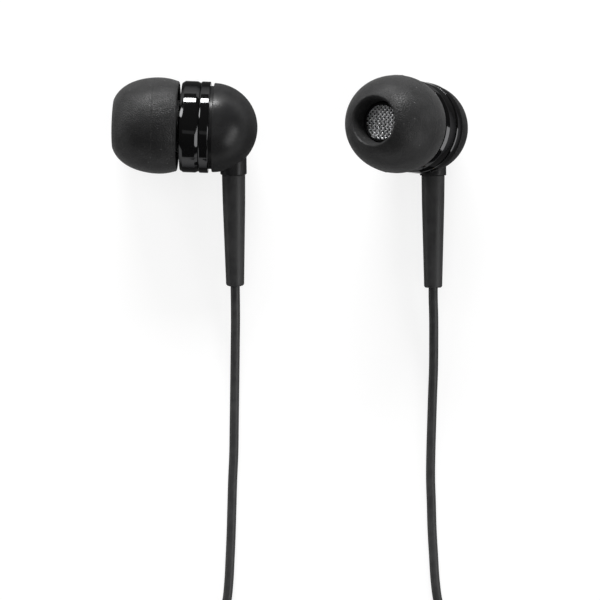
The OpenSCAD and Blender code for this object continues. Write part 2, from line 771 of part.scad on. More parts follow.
// The run from the coil through the slider to the split
module tail(side) {
    sign = side_sign(side);
    path = branch_path(side);
    start = path[len(path) - 1] - [sign * branch_d, 0, 0];
    run = side == "left" ? tail_route : mirrored(tail_route);
    last = [mid_x + sign * pair_pitch / 2, split_top, pair_z];
    color("#1c1d1f") swept(
        concat([start], run, [last]), [-sign, 0, 0], [0, -1, 0], branch_d, cord_sides, 22.5
    );
}

module main_start() {
    start = main_path()[0] + [0, main_d, 0];
    color("#1c1d1f") swept(
        concat([[mid_x, split_end, pair_z]], main_start_route, [start]),
        [0, -1, 0], [0, -1, 0], main_d, cord_sides, 22.5
    );
}

module main_coil() {
    color("#1c1d1f") coil("main coil", main_d, main_path(), [0, -1, 0], [0, -1, 0]);
}

module main_end() {
    path = main_path();
    start = path[len(path) - 1] - [0, main_d, 0];
    color("#1c1d1f") swept(
        concat([start], main_end_route, [plug_mouth]),
        [0, -1, 0], plug_way, main_d, cord_sides, 22.5
    );
}

// A strap round the turns of a coil, at the side of the coil towards the earpieces
module strap(center, d, r_out, pitch, turns, layers) {
    inner = r_out - pitch * turns / layers - d / 2 - strap_gap;
    outer = r_out + d / 2 + strap_gap;
    top = coil_lift + d + (layers - 1) * pitch + strap_gap;
    color("#2b2c2f") translate([center[0] - strap_w / 2, center[1], 0]) difference() {
        translate([0, inner - strap_t, 0]) cube([strap_w, outer - inner + 2 * strap_t, top + strap_t]);
        translate([-1, inner, strap_t]) cube([strap_w + 2, outer - inner, top - strap_t]);
    }
}

module branch_tie(side) {
    strap(branch_centre(side), branch_d, branch_coil_r, branch_pitch, branch_turns, branch_layers);
}

module main_tie() {
    strap([main_coil_x, main_coil_y], main_d, main_coil_r, main_pitch, main_turns, main_layers);
}

// ---- Slider and split ----

// A flat lozenge with round sides and ends, lying along Y from its middle
module lozenge(length, width, thick, rounding) {
    r = thick / 2;
    half = length / 2;
    reach = width / 2 - r;
    profile = concat(
        [[0, -half]], arc(r - rounding, rounding - half, rounding, -90, 0, 5),
        arc(r - rounding, half - rounding, rounding, 0, 90, 5), [[0, half]]
    );
    for (x = [-reach, reach]) translate([x, 0, 0]) rotate([-90, 0, 0]) turned(profile);
    rotate([0, 90, 0]) linear_extrude(2 * reach, center = true)
        polygon(concat(profile, [for (p = profile) [-p[0], -p[1]]]));
}

module cord_slider() {
    y = split_top + slider_rest + slider_len / 2;
    color("#232427") translate([mid_x, y, pair_z]) difference() {
        lozenge(slider_len, slider_w, slider_t, slider_round);
        for (x = [-pair_pitch / 2, pair_pitch / 2])
            translate([x, 0, 0]) rotate([90, 0, 0])
                rod(branch_d / 2 + slider_fit, -slider_len, slider_len);
    }
}

// The moulded split narrows from two cords to one; both ends are cut flat
module y_split() {
    r = split_t / 2;
    reach = split_w / 2 - r;
    color("#232427") intersection() {
        translate([mid_x - split_w, split_end, 0]) cube([2 * split_w, split_len, 2 * split_t]);
        translate([mid_x, 0, r]) hull() {
            for (x = [-reach, reach])
                translate([x, split_top - r / 2, 0]) sphere(r = r, $fn = 32);
            translate([0, split_end + r / 2, 0]) sphere(r = r, $fn = 32);
        }
    }
}

// ---- Plug ----

// Ends of the contacts ahead of the collar's rear face
sleeve_front = collar_t + sleeve_len;
ring_rear = sleeve_front + band_w;
ring_front = ring_rear + contact_len;
point_rear = ring_front + band_w;
pin_r = pin_d / 2;
// Radii of the tubes nested in each other, from the rod outwards
nest_1 = rod_d / 2 + nest_fit;
nest_2 = nest_1 + nest_wall;
nest_3 = nest_2 + nest_fit;
nest_4 = nest_3 + nest_wall;
nest_5 = nest_4 + nest_fit;
nest_6 = nest_5 + nest_wall;
nest_7 = nest_6 + nest_fit;
// Rear ends of the nested contacts and tubes, and the end of the cord behind them
outer_tube_tail = -contact_tail - 0.5;
ring_tail = -contact_tail - 1;
inner_tube_tail = -contact_tail - 1.5;
rod_tail = -contact_tail - 2;
plug_cord_end = rod_tail - bared_len;
plug_wire_d = 0.16;

module plug_sleeve() {
    color("#c9a227") plug() turned([
        [nest_7, -contact_tail], [pin_r, -contact_tail], [pin_r, 0], [collar_d / 2, 0],
        [collar_d / 2, collar_t], [pin_r, collar_t], [pin_r, sleeve_front], [nest_7, sleeve_front]
    ]);
}

module plug_ring() {
    color("#c9a227") plug() turned([
        [nest_3, ring_tail], [nest_4, ring_tail], [nest_4, ring_rear],
        [pin_r, ring_rear], [pin_r, ring_front], [nest_3, ring_front]
    ]);
}

module plug_tip() {
    end = point_rear + point_len;
    neck_r = pin_r * 0.68;
    color("#c9a227") plug() turned(concat(
        [[0, rod_tail], [rod_d / 2, rod_tail], [rod_d / 2, point_rear]],
        [[pin_r * 0.9, point_rear], [pin_r * 0.9, point_rear + 0.25]],
        [[neck_r, point_rear + 0.75], [neck_r, point_rear + 1], [pin_r * 0.98, point_rear + 1.6]],
        [[pin_r * 0.98, point_rear + 1.9]],
        arc(0.1, end - 0.6, 0.6, 25, 90, 5),
        [[0, end]]
    ));
}

// Two insulators: one between the tip and the ring, one between the ring and the sleeve
module plug_insulators() {
    color("#1a1a1a") plug() {
        turned([
            [nest_1, inner_tube_tail], [nest_2, inner_tube_tail], [nest_2, ring_front],
            [pin_r, ring_front], [pin_r, point_rear], [nest_1, point_rear]
        ]);
        turned([
            [nest_5, outer_tube_tail], [nest_6, outer_tube_tail], [nest_6, sleeve_front],
            [pin_r, sleeve_front], [pin_r, ring_rear], [nest_5, ring_rear]
        ]);
    }
}

module plug_grip() {
    r = grip_d / 2;
    room = pin_r + cord_fit;
    hole = main_d / 2 + cord_fit;
    color("#1f2023") plug() turned(concat(
        [[room, 0], [room, plug_cord_end], [hole, plug_cord_end], [hole, -grip_len]],
        arc(r - grip_round - 0.3, grip_round - grip_len, grip_round, -90, 0, 6),
        [[r, 0.35 - grip_len / 2]],
        arc(r - grip_round, -grip_round, grip_round, 0, 90, 6)
    ));
}

module plug_relief() {
    hole = main_d / 2 + cord_fit;
    top = tail_top_d / 2;
    end = tail_end_d / 2;
    back = -grip_len - tail_len;
    color("#232427") plug() turned(concat(
        [[hole, -grip_len], [hole, back]],
        arc(end - 0.3, back + 0.3, 0.3, -90, 0, 5),
        [[top, -grip_len - 1.5], [top, -grip_len]]
    ));
}

// The cord's end inside the plug, and a wire from it to each of the three contacts
module plug_cord() {
    foot = plug_cord_end - 0.2;
    ring_x = (nest_3 + nest_4) / 2;
    sleeve_x = -(nest_7 + pin_r) / 2;
    foot_x = -main_d / 2 + plug_wire_d;
    bend = -contact_tail - 0.9;
    color("#1c1d1f") plug() {
        rod(main_d / 2, -grip_len - tail_len, plug_cord_end);
        rod(plug_wire_d / 2, foot, rod_tail);
        translate([ring_x, 0, 0]) rod(plug_wire_d / 2, foot, ring_tail);
        translate([foot_x, 0, foot]) rotate([0, atan((sleeve_x - foot_x) / (bend - foot)), 0])
            rod(plug_wire_d / 2, 0, norm([sleeve_x - foot_x, bend - foot]));
        translate([sleeve_x, 0, bend]) sphere(r = plug_wire_d * 0.7, $fn = 32);
        translate([sleeve_x, 0, 0]) rod(plug_wire_d / 2, bend, -contact_tail);
    }
}

// ---- Nodes ----

for (side = SIDES) {
    earpiece(side) ear_tip();
    earpiece(side) front_shell();
    earpiece(side) nozzle_grille();
    earpiece(side) nozzle_foam();
    earpiece(side) trim_ring();
    earpiece(side) rear_shell();
    earpiece(side) strain_relief();
    earpiece(side) cord_knot();
    earpiece(side) driver_gasket();
    earpiece(side) driver_cover();
    earpiece(side) diaphragm();
    earpiece(side) voice_coil();
    earpiece(side) pole_plate();
    earpiece(side) magnet();
    earpiece(side) steel_cup();
    earpiece(side) driver_frame();
    earpiece(side) rear_felt();
    earpiece(side) terminal_board();
    earpiece(side) lead_wires();
    cord(side);
    branch_coil(side);
    tail(side);
    branch_tie(side);
}
cord_slider();
y_split();
main_start();
main_coil();
main_end();
main_tie();
plug_grip();
plug_relief();
plug_cord();
plug_sleeve();
plug_ring();
plug_tip();
plug_insulators();
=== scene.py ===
import bmesh
import bpy
import math
from mathutils import Matrix, Vector


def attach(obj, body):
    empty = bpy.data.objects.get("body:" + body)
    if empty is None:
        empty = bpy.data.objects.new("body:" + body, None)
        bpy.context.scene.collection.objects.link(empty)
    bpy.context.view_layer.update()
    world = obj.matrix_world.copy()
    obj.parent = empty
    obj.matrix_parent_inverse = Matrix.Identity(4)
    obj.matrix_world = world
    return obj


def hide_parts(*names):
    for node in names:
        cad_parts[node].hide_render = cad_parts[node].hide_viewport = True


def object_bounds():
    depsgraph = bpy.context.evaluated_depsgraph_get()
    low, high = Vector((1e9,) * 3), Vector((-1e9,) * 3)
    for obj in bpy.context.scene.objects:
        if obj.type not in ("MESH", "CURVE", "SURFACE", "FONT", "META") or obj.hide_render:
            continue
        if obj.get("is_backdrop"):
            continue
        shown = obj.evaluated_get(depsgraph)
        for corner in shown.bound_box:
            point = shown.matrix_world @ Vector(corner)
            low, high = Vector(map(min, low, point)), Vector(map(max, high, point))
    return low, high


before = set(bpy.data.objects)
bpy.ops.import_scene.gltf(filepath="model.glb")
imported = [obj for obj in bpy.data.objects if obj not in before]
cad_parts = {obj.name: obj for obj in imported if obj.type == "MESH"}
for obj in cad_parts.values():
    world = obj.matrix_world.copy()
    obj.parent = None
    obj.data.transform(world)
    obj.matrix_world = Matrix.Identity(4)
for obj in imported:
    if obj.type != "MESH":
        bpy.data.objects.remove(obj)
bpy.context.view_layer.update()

# ---- Camera ----
# The earphones lie flat on a table and are seen from straight above, from about 30 cm.
# The view takes in both earpieces and the first stretch of each cord.

# In metres: the distance to the tips and the width seen there, the tips' height, and the
# point of the table that is straight below
SEEN_FROM, SEEN_WIDTH = 0.3, 0.0768
TIPS_AT = 0.00616
BELOW_X, BELOW_Y = 0.001178, -0.01502
lens = bpy.data.cameras.new("camera")
lens.sensor_width = 36
lens.lens = lens.sensor_width * SEEN_FROM / SEEN_WIDTH
camera = bpy.data.objects.new("camera", lens)
camera.location = (BELOW_X, BELOW_Y, TIPS_AT + SEEN_FROM)
bpy.context.scene.collection.objects.link(camera)
bpy.context.scene.camera = camera
bpy.context.scene.view_settings.view_transform = "Standard"

# ---- Cords of the earpieces, and the main cord ----
# Stranded wire in a smooth black elastomer jacket, drawn through a die. The two thin cords
# run through the slider into the split, and the thicker main cord goes on to the plug.
# The spare length is wound in round coils, each held by a strap.

# The pieces' sizes are in millimetres, until a mesh is made of them
BRANCH_D = 1.2
MAIN_D = 1.8
SIDES = ("left", "right")
TURN_POINTS = 48


def eased(points, first, last, step):
    """Points along a smooth line through the given ones, about a step apart."""
    points = [Vector(p) for p in points]
    spans = [(b - a).length for a, b in zip(points, points[1:])]
    ways = [Vector(first).normalized()]
    for i in range(1, len(points) - 1):
        before = (points[i] - points[i - 1]) / spans[i - 1]
        after = (points[i + 1] - points[i]) / spans[i]
        ways.append((before * spans[i] + after * spans[i - 1]) / (spans[i - 1] + spans[i]))
    ways.append(Vector(last).normalized())
    line = []
    for i, span in enumerate(spans):
        count = max(1, round(span / step))
        for k in range(count):
            t = k / count
            line.append(
                points[i] * (2 * t ** 3 - 3 * t ** 2 + 1)
                + ways[i] * span * (t ** 3 - 2 * t ** 2 + t)
                + points[i + 1] * (3 * t ** 2 - 2 * t ** 3)
                + ways[i + 1] * span * (t ** 3 - t ** 2)
            )
    return line + [points[-1]]


def wound(centre, low, outer, pitch, turns, layers, start, spin):
    """The line of a coil that spirals in and out again, one layer on the next."""
    per = turns / layers
    line = []
    for i in range(round(turns * TURN_POINTS) + 1):
        u = i / TURN_POINTS
        k = min(layers - 1, math.floor(u / per))
        w = u - k * per
        radius = outer - pitch * (per - w if k % 2 else w)
        rise = 0.0
        for j in range(1, layers):
            t = min(1, max(0, (u - j * per) * 2 + 0.5))
            rise += (1 - math.cos(math.pi * t)) / 2
        angle = math.radians(start + spin * 360 * u)
        x = centre[0] + radius * math.cos(angle)
        y = centre[1] + radius * math.sin(angle)
        line.append(Vector((x, y, low + pitch * rise)))
    return line


def finished(name, build, sharp=40):
    """The mesh as an object with its faces outward, smooth but for its crisp edges."""
    bmesh.ops.recalc_face_normals(build, faces=build.faces)
    mesh = bpy.data.meshes.new(name)
    build.to_mesh(mesh)
    build.free()
    mesh.shade_smooth()
    mesh.set_sharp_from_angle(angle=math.radians(sharp))
    piece = bpy.data.objects.new(name, mesh)
    bpy.context.scene.collection.objects.link(piece)
    return piece


def jacket_tube(name, line, diameter, sides):
    """A closed tube along a line in millimetres, with its length and girth as its UV map."""
    count = len(line)
    ways = []
    for i in range(count):
        ways.append((line[min(i + 1, count - 1)] - line[max(i - 1, 0)]).normalized())
    side = ways[0].cross(Vector((0, 0, 1))).normalized()
    turn = [2 * math.pi * k / sides for k in range(sides)]
    rings, lengths, far = [], [], 0.0
    for i in range(count):
        side = (side - ways[i] * side.dot(ways[i])).normalized()
        up = side.cross(ways[i])
        if i:
            far += (line[i] - line[i - 1]).length
        lengths.append(far)
        rings.append([line[i] + (side * math.cos(a) + up * math.sin(a)) * diameter / 2
                      for a in turn])
    build = bmesh.new()
    uv = build.loops.layers.uv.new("jacket")
    corners = [[build.verts.new(p / 1000) for p in ring] for ring in rings]
    for i in range(count - 1):
        for k in range(sides):
            n = (k + 1) % sides
            square = (corners[i][k], corners[i][n], corners[i + 1][n], corners[i + 1][k])
            face = build.faces.new(square)
            around = (k / sides, (k + 1) / sides, (k + 1) / sides, k / sides)
            along = (lengths[i], lengths[i], lengths[i + 1], lengths[i + 1])
            for loop, u, v in zip(face.loops, along, around):
                loop[uv].uv = (u, v)
    for ring, middle in ((corners[0], line[0]), (corners[-1], line[-1])):
        centre = build.verts.new(middle / 1000)
        for k in range(sides):
            build.faces.new((ring[k], ring[(k + 1) % sides], centre))
    return finished(name, build, 50)


def add(tree, kind, inputs=None, **settings):
    """A new node; an input is given as a number, a colour or another node's output."""
    new = tree.nodes.new(kind)
    for key, value in settings.items():
        setattr(new, key, value)
    for key, value in (inputs or {}).items():
        if isinstance(value, bpy.types.NodeSocket):
            tree.links.new(value, new.inputs[key])
        else:
            new.inputs[key].default_value = value
    return new


def reckon(tree, operation, *values, **settings):
    """The result of a sum on numbers or other nodes' outputs."""
    return add(tree, "ShaderNodeMath", dict(enumerate(values)), operation=operation,
               **settings).outputs[0]


def smooth(tree, value, start, end, low=0.0, high=1.0):
    """Goes smoothly from low to high while the value goes from start to end."""
    return add(tree, "ShaderNodeMapRange", {"Value": value, "From Min": start, "From Max": end,
               "To Min": low, "To Max": high}, interpolation_type="SMOOTHSTEP").outputs[0]


def new_effect(name, inputs, outputs):
    """An empty shader node group with named sockets, and its two end nodes."""
    group = bpy.data.node_groups.new(name, "ShaderNodeTree")
    for label, kind, value in inputs:
        socket = group.interface.new_socket(name=label, in_out="INPUT", socket_type=kind)
        if value is not None:
            socket.default_value = value
    for label, kind in outputs:
        group.interface.new_socket(name=label, in_out="OUTPUT", socket_type=kind)
    return group, group.nodes.new("NodeGroupInput"), group.nodes.new("NodeGroupOutput")


# Spark-eroded or elastomer grain: small rounded bumps, some higher than others
grain, given, result = new_effect(
    "surface_grain",
    [("Vector", "NodeSocketVector", None), ("Size", "NodeSocketFloat", 0.1)],
    [("Height", "NodeSocketFloat"), ("Patches", "NodeSocketFloat")],
)
each = reckon(grain, "DIVIDE", 1.0, given.outputs["Size"])
cells = add(grain, "ShaderNodeTexVoronoi", {"Vector": given.outputs["Vector"], "Scale": each},
            feature="SMOOTH_F1")
fine = add(grain, "ShaderNodeTexNoise", {"Vector": given.outputs["Vector"], "Scale": each,
           "Detail": 3.0, "Roughness": 0.6})
both = reckon(grain, "SUBTRACT", fine.outputs["Fac"], cells.outputs["Distance"])
grain.links.new(both, result.inputs["Height"])
broad = add(grain, "ShaderNodeTexNoise", {"Vector": given.outputs["Vector"], "Scale": 0.55,
            "Detail": 4.0, "Roughness": 0.65})
patches = smooth(grain, broad.outputs["Fac"], 0.32, 0.68)
grain.links.new(patches, result.inputs["Patches"])

# Dust: sparse pale specks of uneven size that cling to soft and satin surfaces
dust, given, result = new_effect(
    "clinging_dust",
    [("Vector", "NodeSocketVector", None), ("Spacing", "NodeSocketFloat", 0.6),
     ("Amount", "NodeSocketFloat", 0.5)],
    [("Mask", "NodeSocketFloat")],
)
each = reckon(dust, "DIVIDE", 1.0, given.outputs["Spacing"])
specks = add(dust, "ShaderNodeTexVoronoi", {"Vector": given.outputs["Vector"], "Scale": each},
             feature="F1")
parted = add(dust, "ShaderNodeSeparateColor", {"Color": specks.outputs["Color"]})
reach = reckon(dust, "MULTIPLY", reckon(dust, "POWER", parted.outputs[0], 6.0), 0.16)
inside = reckon(dust, "SUBTRACT", reach, specks.outputs["Distance"])
hard = reckon(dust, "MULTIPLY", inside, 24.0, use_clamp=True)
share = reckon(dust, "MULTIPLY", hard, given.outputs["Amount"])
dust.links.new(share, result.inputs["Mask"])


def new_finish(name, metallic=0.0, ior=1.47, coat=0.0, sheen=0.0):
    """A material, its node tree, its shader, and its own coordinates in millimetres."""
    material = bpy.data.materials.new(name)
    material.use_nodes = True
    tree = material.node_tree
    shader = tree.nodes["Principled BSDF"]
    for label, value in (("Metallic", metallic), ("IOR", ior), ("Coat Weight", coat),
                         ("Sheen Weight", sheen)):
        shader.inputs[label].default_value = value
    place = add(tree, "ShaderNodeTexCoord")
    scaled = add(tree, "ShaderNodeMapping", {"Vector": place.outputs["Object"],
                 "Scale": (1000, 1000, 1000)})
    return material, tree, shader, scaled.outputs[0]


def effect(tree, group, inputs):
    """A shader node group put to use."""
    return add(tree, "ShaderNodeGroup", inputs, node_tree=group)


def tone(tree, mask, low, high):
    """A colour between two, by a mask; the first may be another node's output."""
    if not isinstance(low, bpy.types.NodeSocket):
        low = (*low, 1)
    return add(tree, "ShaderNodeMix", {0: mask, 6: low, 7: (*high, 1)}, data_type="RGBA").outputs[2]


def relief(tree, shader, height, strength, depth):
    """Bump of the given depth in millimetres."""
    bump = add(tree, "ShaderNodeBump", {"Height": height, "Strength": strength,
               "Distance": depth / 1000})
    tree.links.new(bump.outputs[0], shader.inputs["Normal"])


def roughness(tree, shader, mask, low, high, edge=None):
    """Roughness by a mask; a matte skin loses its gloss towards the edge of the form."""
    spread = add(tree, "ShaderNodeMapRange", {"Value": mask, "To Min": low, "To Max": high})
    if edge is not None:
        turned_away = add(tree, "ShaderNodeLayerWeight", {"Blend": 0.5}).outputs["Facing"]
        far = smooth(tree, turned_away, 0.12, 0.5)
        spread = add(tree, "ShaderNodeMix", {0: far, 2: spread.outputs[0], 3: edge},
                     data_type="FLOAT")
    tree.links.new(spread.outputs[0], shader.inputs["Roughness"])


def grained(name, size, low, high, rough, bump=None, specks=None, by="Patches", **kind):
    """A finish with a fine grain: its size in mm, its two colours, its least and most
    roughness (and the edge's), bump and depth, and the dust's spacing, amount and grey."""
    material, tree, shader, mm = new_finish(name, **kind)
    skin = effect(tree, grain, {"Vector": mm, "Size": size})
    colour = tone(tree, skin.outputs["Patches"], low, high)
    if specks:
        spacing, amount, grey = specks
        held = effect(tree, dust, {"Vector": mm, "Spacing": spacing, "Amount": amount})
        colour = tone(tree, held.outputs["Mask"], colour, (grey, grey, grey))
    tree.links.new(colour, shader.inputs["Base Color"])
    roughness(tree, shader, skin.outputs[by], *rough)
    if bump:
        relief(tree, shader, skin.outputs["Height"], *bump)
    return material, tree, shader, skin


# The jacket: satin black, with faint lines along it from the die
jacket, tree, shader, skin = grained(
    "cord_jacket", size=0.09, low=(0.023, 0.023, 0.0235), high=(0.034, 0.034, 0.0345),
    rough=(0.40, 0.50, 0.85), specks=(0.5, 0.35, 0.12), ior=1.45)
lengthwise = add(tree, "ShaderNodeUVMap", uv_map="jacket")
drawn = add(tree, "ShaderNodeMapping", {"Vector": lengthwise.outputs[0], "Scale": (0.06, 26, 1)})
lines = add(tree, "ShaderNodeTexNoise", {"Vector": drawn.outputs[0], "Scale": 1.0, "Detail": 2.0})
both = reckon(tree, "ADD", lines.outputs["Fac"], skin.outputs["Height"])
relief(tree, shader, both, 0.35, 0.012)

# Where each relief ends, and the way its cord leaves it
MOUTH = {"left": Vector((-7.22, -13.139, 2.61)), "right": Vector((18.416, -13.419, 2.751))}
LEAVING = {"left": Vector((0.0093, -0.9848, -0.1735)), "right": Vector((0.0031, -0.9993, -0.0385))}
# Points chosen: down to the table and to the coil, then from the coil to the split
LAID = {
    "left": [
        (-7.2, -17.5, 1.9), (-7.25, -21, 1.3), (-7.3, -24.5, 0.85), (-7.35, -28, 0.62),
        (-7.4, -31.5, 0.6), (-7.45, -35, 0.6), (-7.6, -38.5, 0.6), (-7.7, -42, 0.6),
        (-7.8, -45.5, 0.6), (-7.95, -49, 0.6), (-8.1, -51.8, 0.6), (-8.45, -54.6, 0.6),
        (-9.6, -57.4, 0.6), (-11.5, -60.1, 0.65), (-13.1, -62.8, 0.8), (-13.7, -65.8, 0.95),
    ],
    "right": [
        (18.5, -17, 2.4), (18.55, -20.5, 1.75), (18.55, -24, 1.15), (18.45, -27.5, 0.75),
        (18.35, -31, 0.6), (18.25, -34.5, 0.6), (18.2, -38, 0.6), (18.3, -41.5, 0.6),
        (18.4, -45, 0.6), (18.6, -48.5, 0.6), (18.8, -51.6, 0.6), (19.25, -54.6, 0.6),
        (20.4, -57.4, 0.6), (22.3, -60.1, 0.65), (23.9, -62.8, 0.8), (24.5, -65.8, 0.95),
    ],
}
TO_SPLIT = [
    (-3.5, -76, 2.6), (-1.8, -76, 2.5), (0.5, -76.5, 2.3), (2.4, -77.8, 2.05),
    (3.75, -79.7, 1.8), (4.2, -82, 1.62), (4.2, -85.5, 1.6), (4.2, -89.5, 1.6),
    (4.2, -93.5, 1.6), (4.2, -97.5, 1.6), (4.2, -101, 1.6),
]
DOWN_TABLE = (0, -1, 0)
INTO_PLUG = (0.22495, 0.97437, 0)
# The line midway between the two cords in the slider and the split
GATHER_X, GATHER_Z = 5.4, 1.6
BRANCH_COIL = {"low": 0.95, "outer": 9, "pitch": 1.65, "turns": 6.25, "layers": 2}
COILS = {
    "left": {"centre": (-4.7, -67), "start": 180, "spin": 1, **BRANCH_COIL},
    "right": {"centre": (15.5, -67), "start": 0, "spin": -1, **BRANCH_COIL},
    "main": {"centre": (-8.2, -125), "start": 0, "spin": -1,
             "low": 1.25, "outer": 13.6, "pitch": 2.25, "turns": 13, "layers": 4},
}
routes = {}
for side in SIDES:
    coil = wound(**COILS[side])
    laid = [MOUTH[side], MOUTH[side] + LEAVING[side] * 1.2] + LAID[side] + [coil[0]]
    tail = TO_SPLIT if side == "left" else [(2 * GATHER_X - x, y, z) for x, y, z in TO_SPLIT]
    out = eased(laid, LEAVING[side], DOWN_TABLE, step=0.7)
    back = eased([coil[-1]] + tail, (COILS[side]["spin"], 0, 0), DOWN_TABLE, step=0.7)
    routes[side] = out[:-1] + coil + back[1:]
coil = wound(**COILS["main"])
from_split = [
    (5.4, -113, 1.6), (5.4, -116, 1.5), (5.4, -119.5, 1.35), (5.4, -123.2, 1.25), coil[0],
]
to_plug = [
    coil[-1], (5.4, -126.8, 8.0), (5.4, -130.2, 7.75), (5.4, -133.4, 7.2), (6, -135.9, 6.65),
    (7.4, -137.4, 6.1), (9.4, -137.9, 5.55), (11.4, -137.3, 4.95), (12.75, -135.8, 4.3),
    (13.24, -133.956, 3.65), (13.915, -131.033, 3.35), (14.5, -128.5, 3.3),
]
out = eased(from_split, DOWN_TABLE, DOWN_TABLE, step=0.9)
back = eased(to_plug, DOWN_TABLE, INTO_PLUG, step=0.9)
routes["main"] = out[:-1] + coil + back[1:]
cords = {}
for side in SIDES:
    cords[side] = jacket_tube(side + "_earpiece_cord", routes[side], BRANCH_D, 16)
    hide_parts(side + "_cord", side + "_coil", side + "_tail")
cords["main"] = jacket_tube("main_cord", routes["main"], MAIN_D, 18)
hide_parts("main_start", "main_coil", "main_end")
for cord in cords.values():
    cord.data.materials.append(jacket)
    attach(cord, "earphones")

# ---- Table and lamps ----
# A pale table top under a broad soft lamp. Four low soft boxes beside the table and a
# high strip draw the highlights on the glossy rings and the satin domes.

top = bpy.data.meshes.new("table_top")
top.from_pydata([(-2, -2, 0), (2, -2, 0), (2, 2, 0), (-2, 2, 0)], [], [(0, 1, 2, 3)])
table = bpy.data.objects.new("table_top", top)
bpy.context.scene.collection.objects.link(table)
table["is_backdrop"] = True
paper = bpy.data.materials.new("table_paper")
paper.use_nodes = True
tree = paper.node_tree
tree.nodes.clear()
seen = add(tree, "ShaderNodeLightPath")
direct = reckon(tree, "ADD", seen.outputs["Is Camera Ray"], seen.outputs["Is Glossy Ray"])
direct = reckon(tree, "ADD", direct, seen.outputs["Is Transmission Ray"], use_clamp=True)
lit = add(tree, "ShaderNodeBsdfDiffuse", {"Color": (0.86, 0.86, 0.86, 1)})
shaded = add(tree, "ShaderNodeBsdfDiffuse", {"Color": (0.22, 0.22, 0.22, 1)})
glow = add(tree, "ShaderNodeEmission", {"Color": (1, 1, 1, 1), "Strength": 0.80})
bright = add(tree, "ShaderNodeAddShader", {0: shaded.outputs[0], 1: glow.outputs[0]})
both = add(tree, "ShaderNodeMixShader", {0: direct, 1: lit.outputs[0], 2: bright.outputs[0]})
add(tree, "ShaderNodeOutputMaterial", {0: both.outputs[0]})
top.materials.append(paper)

room = bpy.data.worlds.new("studio")
bpy.context.scene.world = room
room.use_nodes = True
tree = room.node_tree
tree.nodes.clear()
way = add(tree, "ShaderNodeTexCoord")
parts = add(tree, "ShaderNodeSeparateXYZ", {0: way.outputs["Generated"]})
high = smooth(tree, parts.outputs[2], 0.02, 0.07)
sky = tone(tree, high, (0.9, 0.9, 0.9), (0.03, 0.03, 0.03))
air = add(tree, "ShaderNodeBackground", {"Color": sky, "Strength": 1.0})
add(tree, "ShaderNodeOutputWorld", {0: air.outputs[0]})

# The point between the earpieces, in metres, that every lamp faces
LIT = Vector((0.003, 0.005, 0.005))


def lamp(name, azimuth, height, width, tall, brightness, distance=1.0):
    """A soft box at an azimuth and a height in degrees, its distance and sizes in metres."""
    light = bpy.data.lights.new(name, "AREA")
    light.shape = "RECTANGLE"
    light.size = width
    light.size_y = tall
    light.energy = brightness * math.pi * width * tall
    box = bpy.data.objects.new(name, light)
    a, e = math.radians(azimuth), math.radians(height)
    way = Vector((math.cos(a) * math.cos(e), math.sin(a) * math.cos(e), math.sin(e)))
    box.location = LIT + way * distance
    box.rotation_euler = way.to_track_quat("Z", "Y").to_euler()
    bpy.context.scene.collection.objects.link(box)
    return box


overhead = lamp("overhead", 90, 90, 1.2, 1.2, 1.3, distance=1.2)
overhead.visible_glossy = False
lamp("far_box", 93, 23.2, 0.5, 0.2, 44)
lamp("left_box", 154, 17, 0.26, 0.2, 9)
lamp("right_box", -27, 31, 0.8, 0.42, 3.6)
lamp("upper_left_box", 136, 33, 0.3, 0.2, 6)
lamp("high_strip", -100, 72, 1.2, 0.14, 0.25)

# ---- Loudspeakers ----
# A 9 mm moving-coil unit in each earpiece: a film diaphragm and a wound coil in the gap of
# a steel cup, glued up in a moulded frame behind a perforated cover, with a felt ring.

# Each earpiece's place and tilt: its own axis runs from the dome's back to the soft tip
TURN = {
    "left": Matrix.Translation((-9.96, 7.05, 6.15)) @ Matrix.Rotation(math.radians(-2.1), 4, "Z")
    @ Matrix.Rotation(math.radians(-90), 4, "Y") @ Matrix.Rotation(math.radians(-10), 4, "Z"),
    "right": Matrix.Translation((17, 7, 5.7)) @ Matrix.Rotation(math.radians(-1.2), 4, "Z")
    @ Matrix.Rotation(math.radians(-32), 4, "Y"),
}


def eased_corners(profile):
    """Profile points (radius, height, rounding); a rounded corner becomes a short arc."""
    points = []
    count = len(profile)
    for i, (r, h, *ease) in enumerate(profile):
        if not ease:
            points.append((r, h))
            continue
        here = Vector((r, h))
        before = (Vector(profile[i - 1][:2]) - here).normalized()
        after = (Vector(profile[(i + 1) % count][:2]) - here).normalized()
        open_angle = before.angle(after)
        reach = ease[0] / math.tan(open_angle / 2)
        middle = here + (before + after).normalized() * ease[0] / math.sin(open_angle / 2)
        start = here + before * reach - middle
        end = here + after * reach - middle
        first = math.atan2(start.y, start.x)
        sweep = math.remainder(math.atan2(end.y, end.x) - first, 2 * math.pi)
        steps = max(2, math.ceil(abs(sweep) / math.radians(12)))
        for k in range(steps + 1):
            a = first + sweep * k / steps
            points.append((middle.x + ease[0] * math.cos(a), middle.y + ease[0] * math.sin(a)))
    return points


def turned(name, profile, place, segments=96, swell=None):
    """A closed solid of revolution, from a profile in millimetres on its own axis."""
    build = bmesh.new()
    rings = []
    for r, h in eased_corners(profile):
        if r < 1e-6:
            rings.append([build.verts.new(place @ Vector((0, 0, h)) / 1000)])
            continue
        ring = []
        for k in range(segments):
            a = 2 * math.pi * k / segments
            wide = r + (swell(r, h, a) if swell else 0)
            p = Vector((wide * math.cos(a), wide * math.sin(a), h))
            ring.append(build.verts.new(place @ p / 1000))
        rings.append(ring)
    for one, other in zip(rings, rings[1:] + rings[:1]):
        if len(one) == len(other) == 1:
            continue
        for k in range(segments):
            n = (k + 1) % segments
            corners = [one[k % len(one)], one[n % len(one)],
                       other[n % len(other)], other[k % len(other)]]
            build.faces.new(list(dict.fromkeys(corners)))
    return finished(name, build)


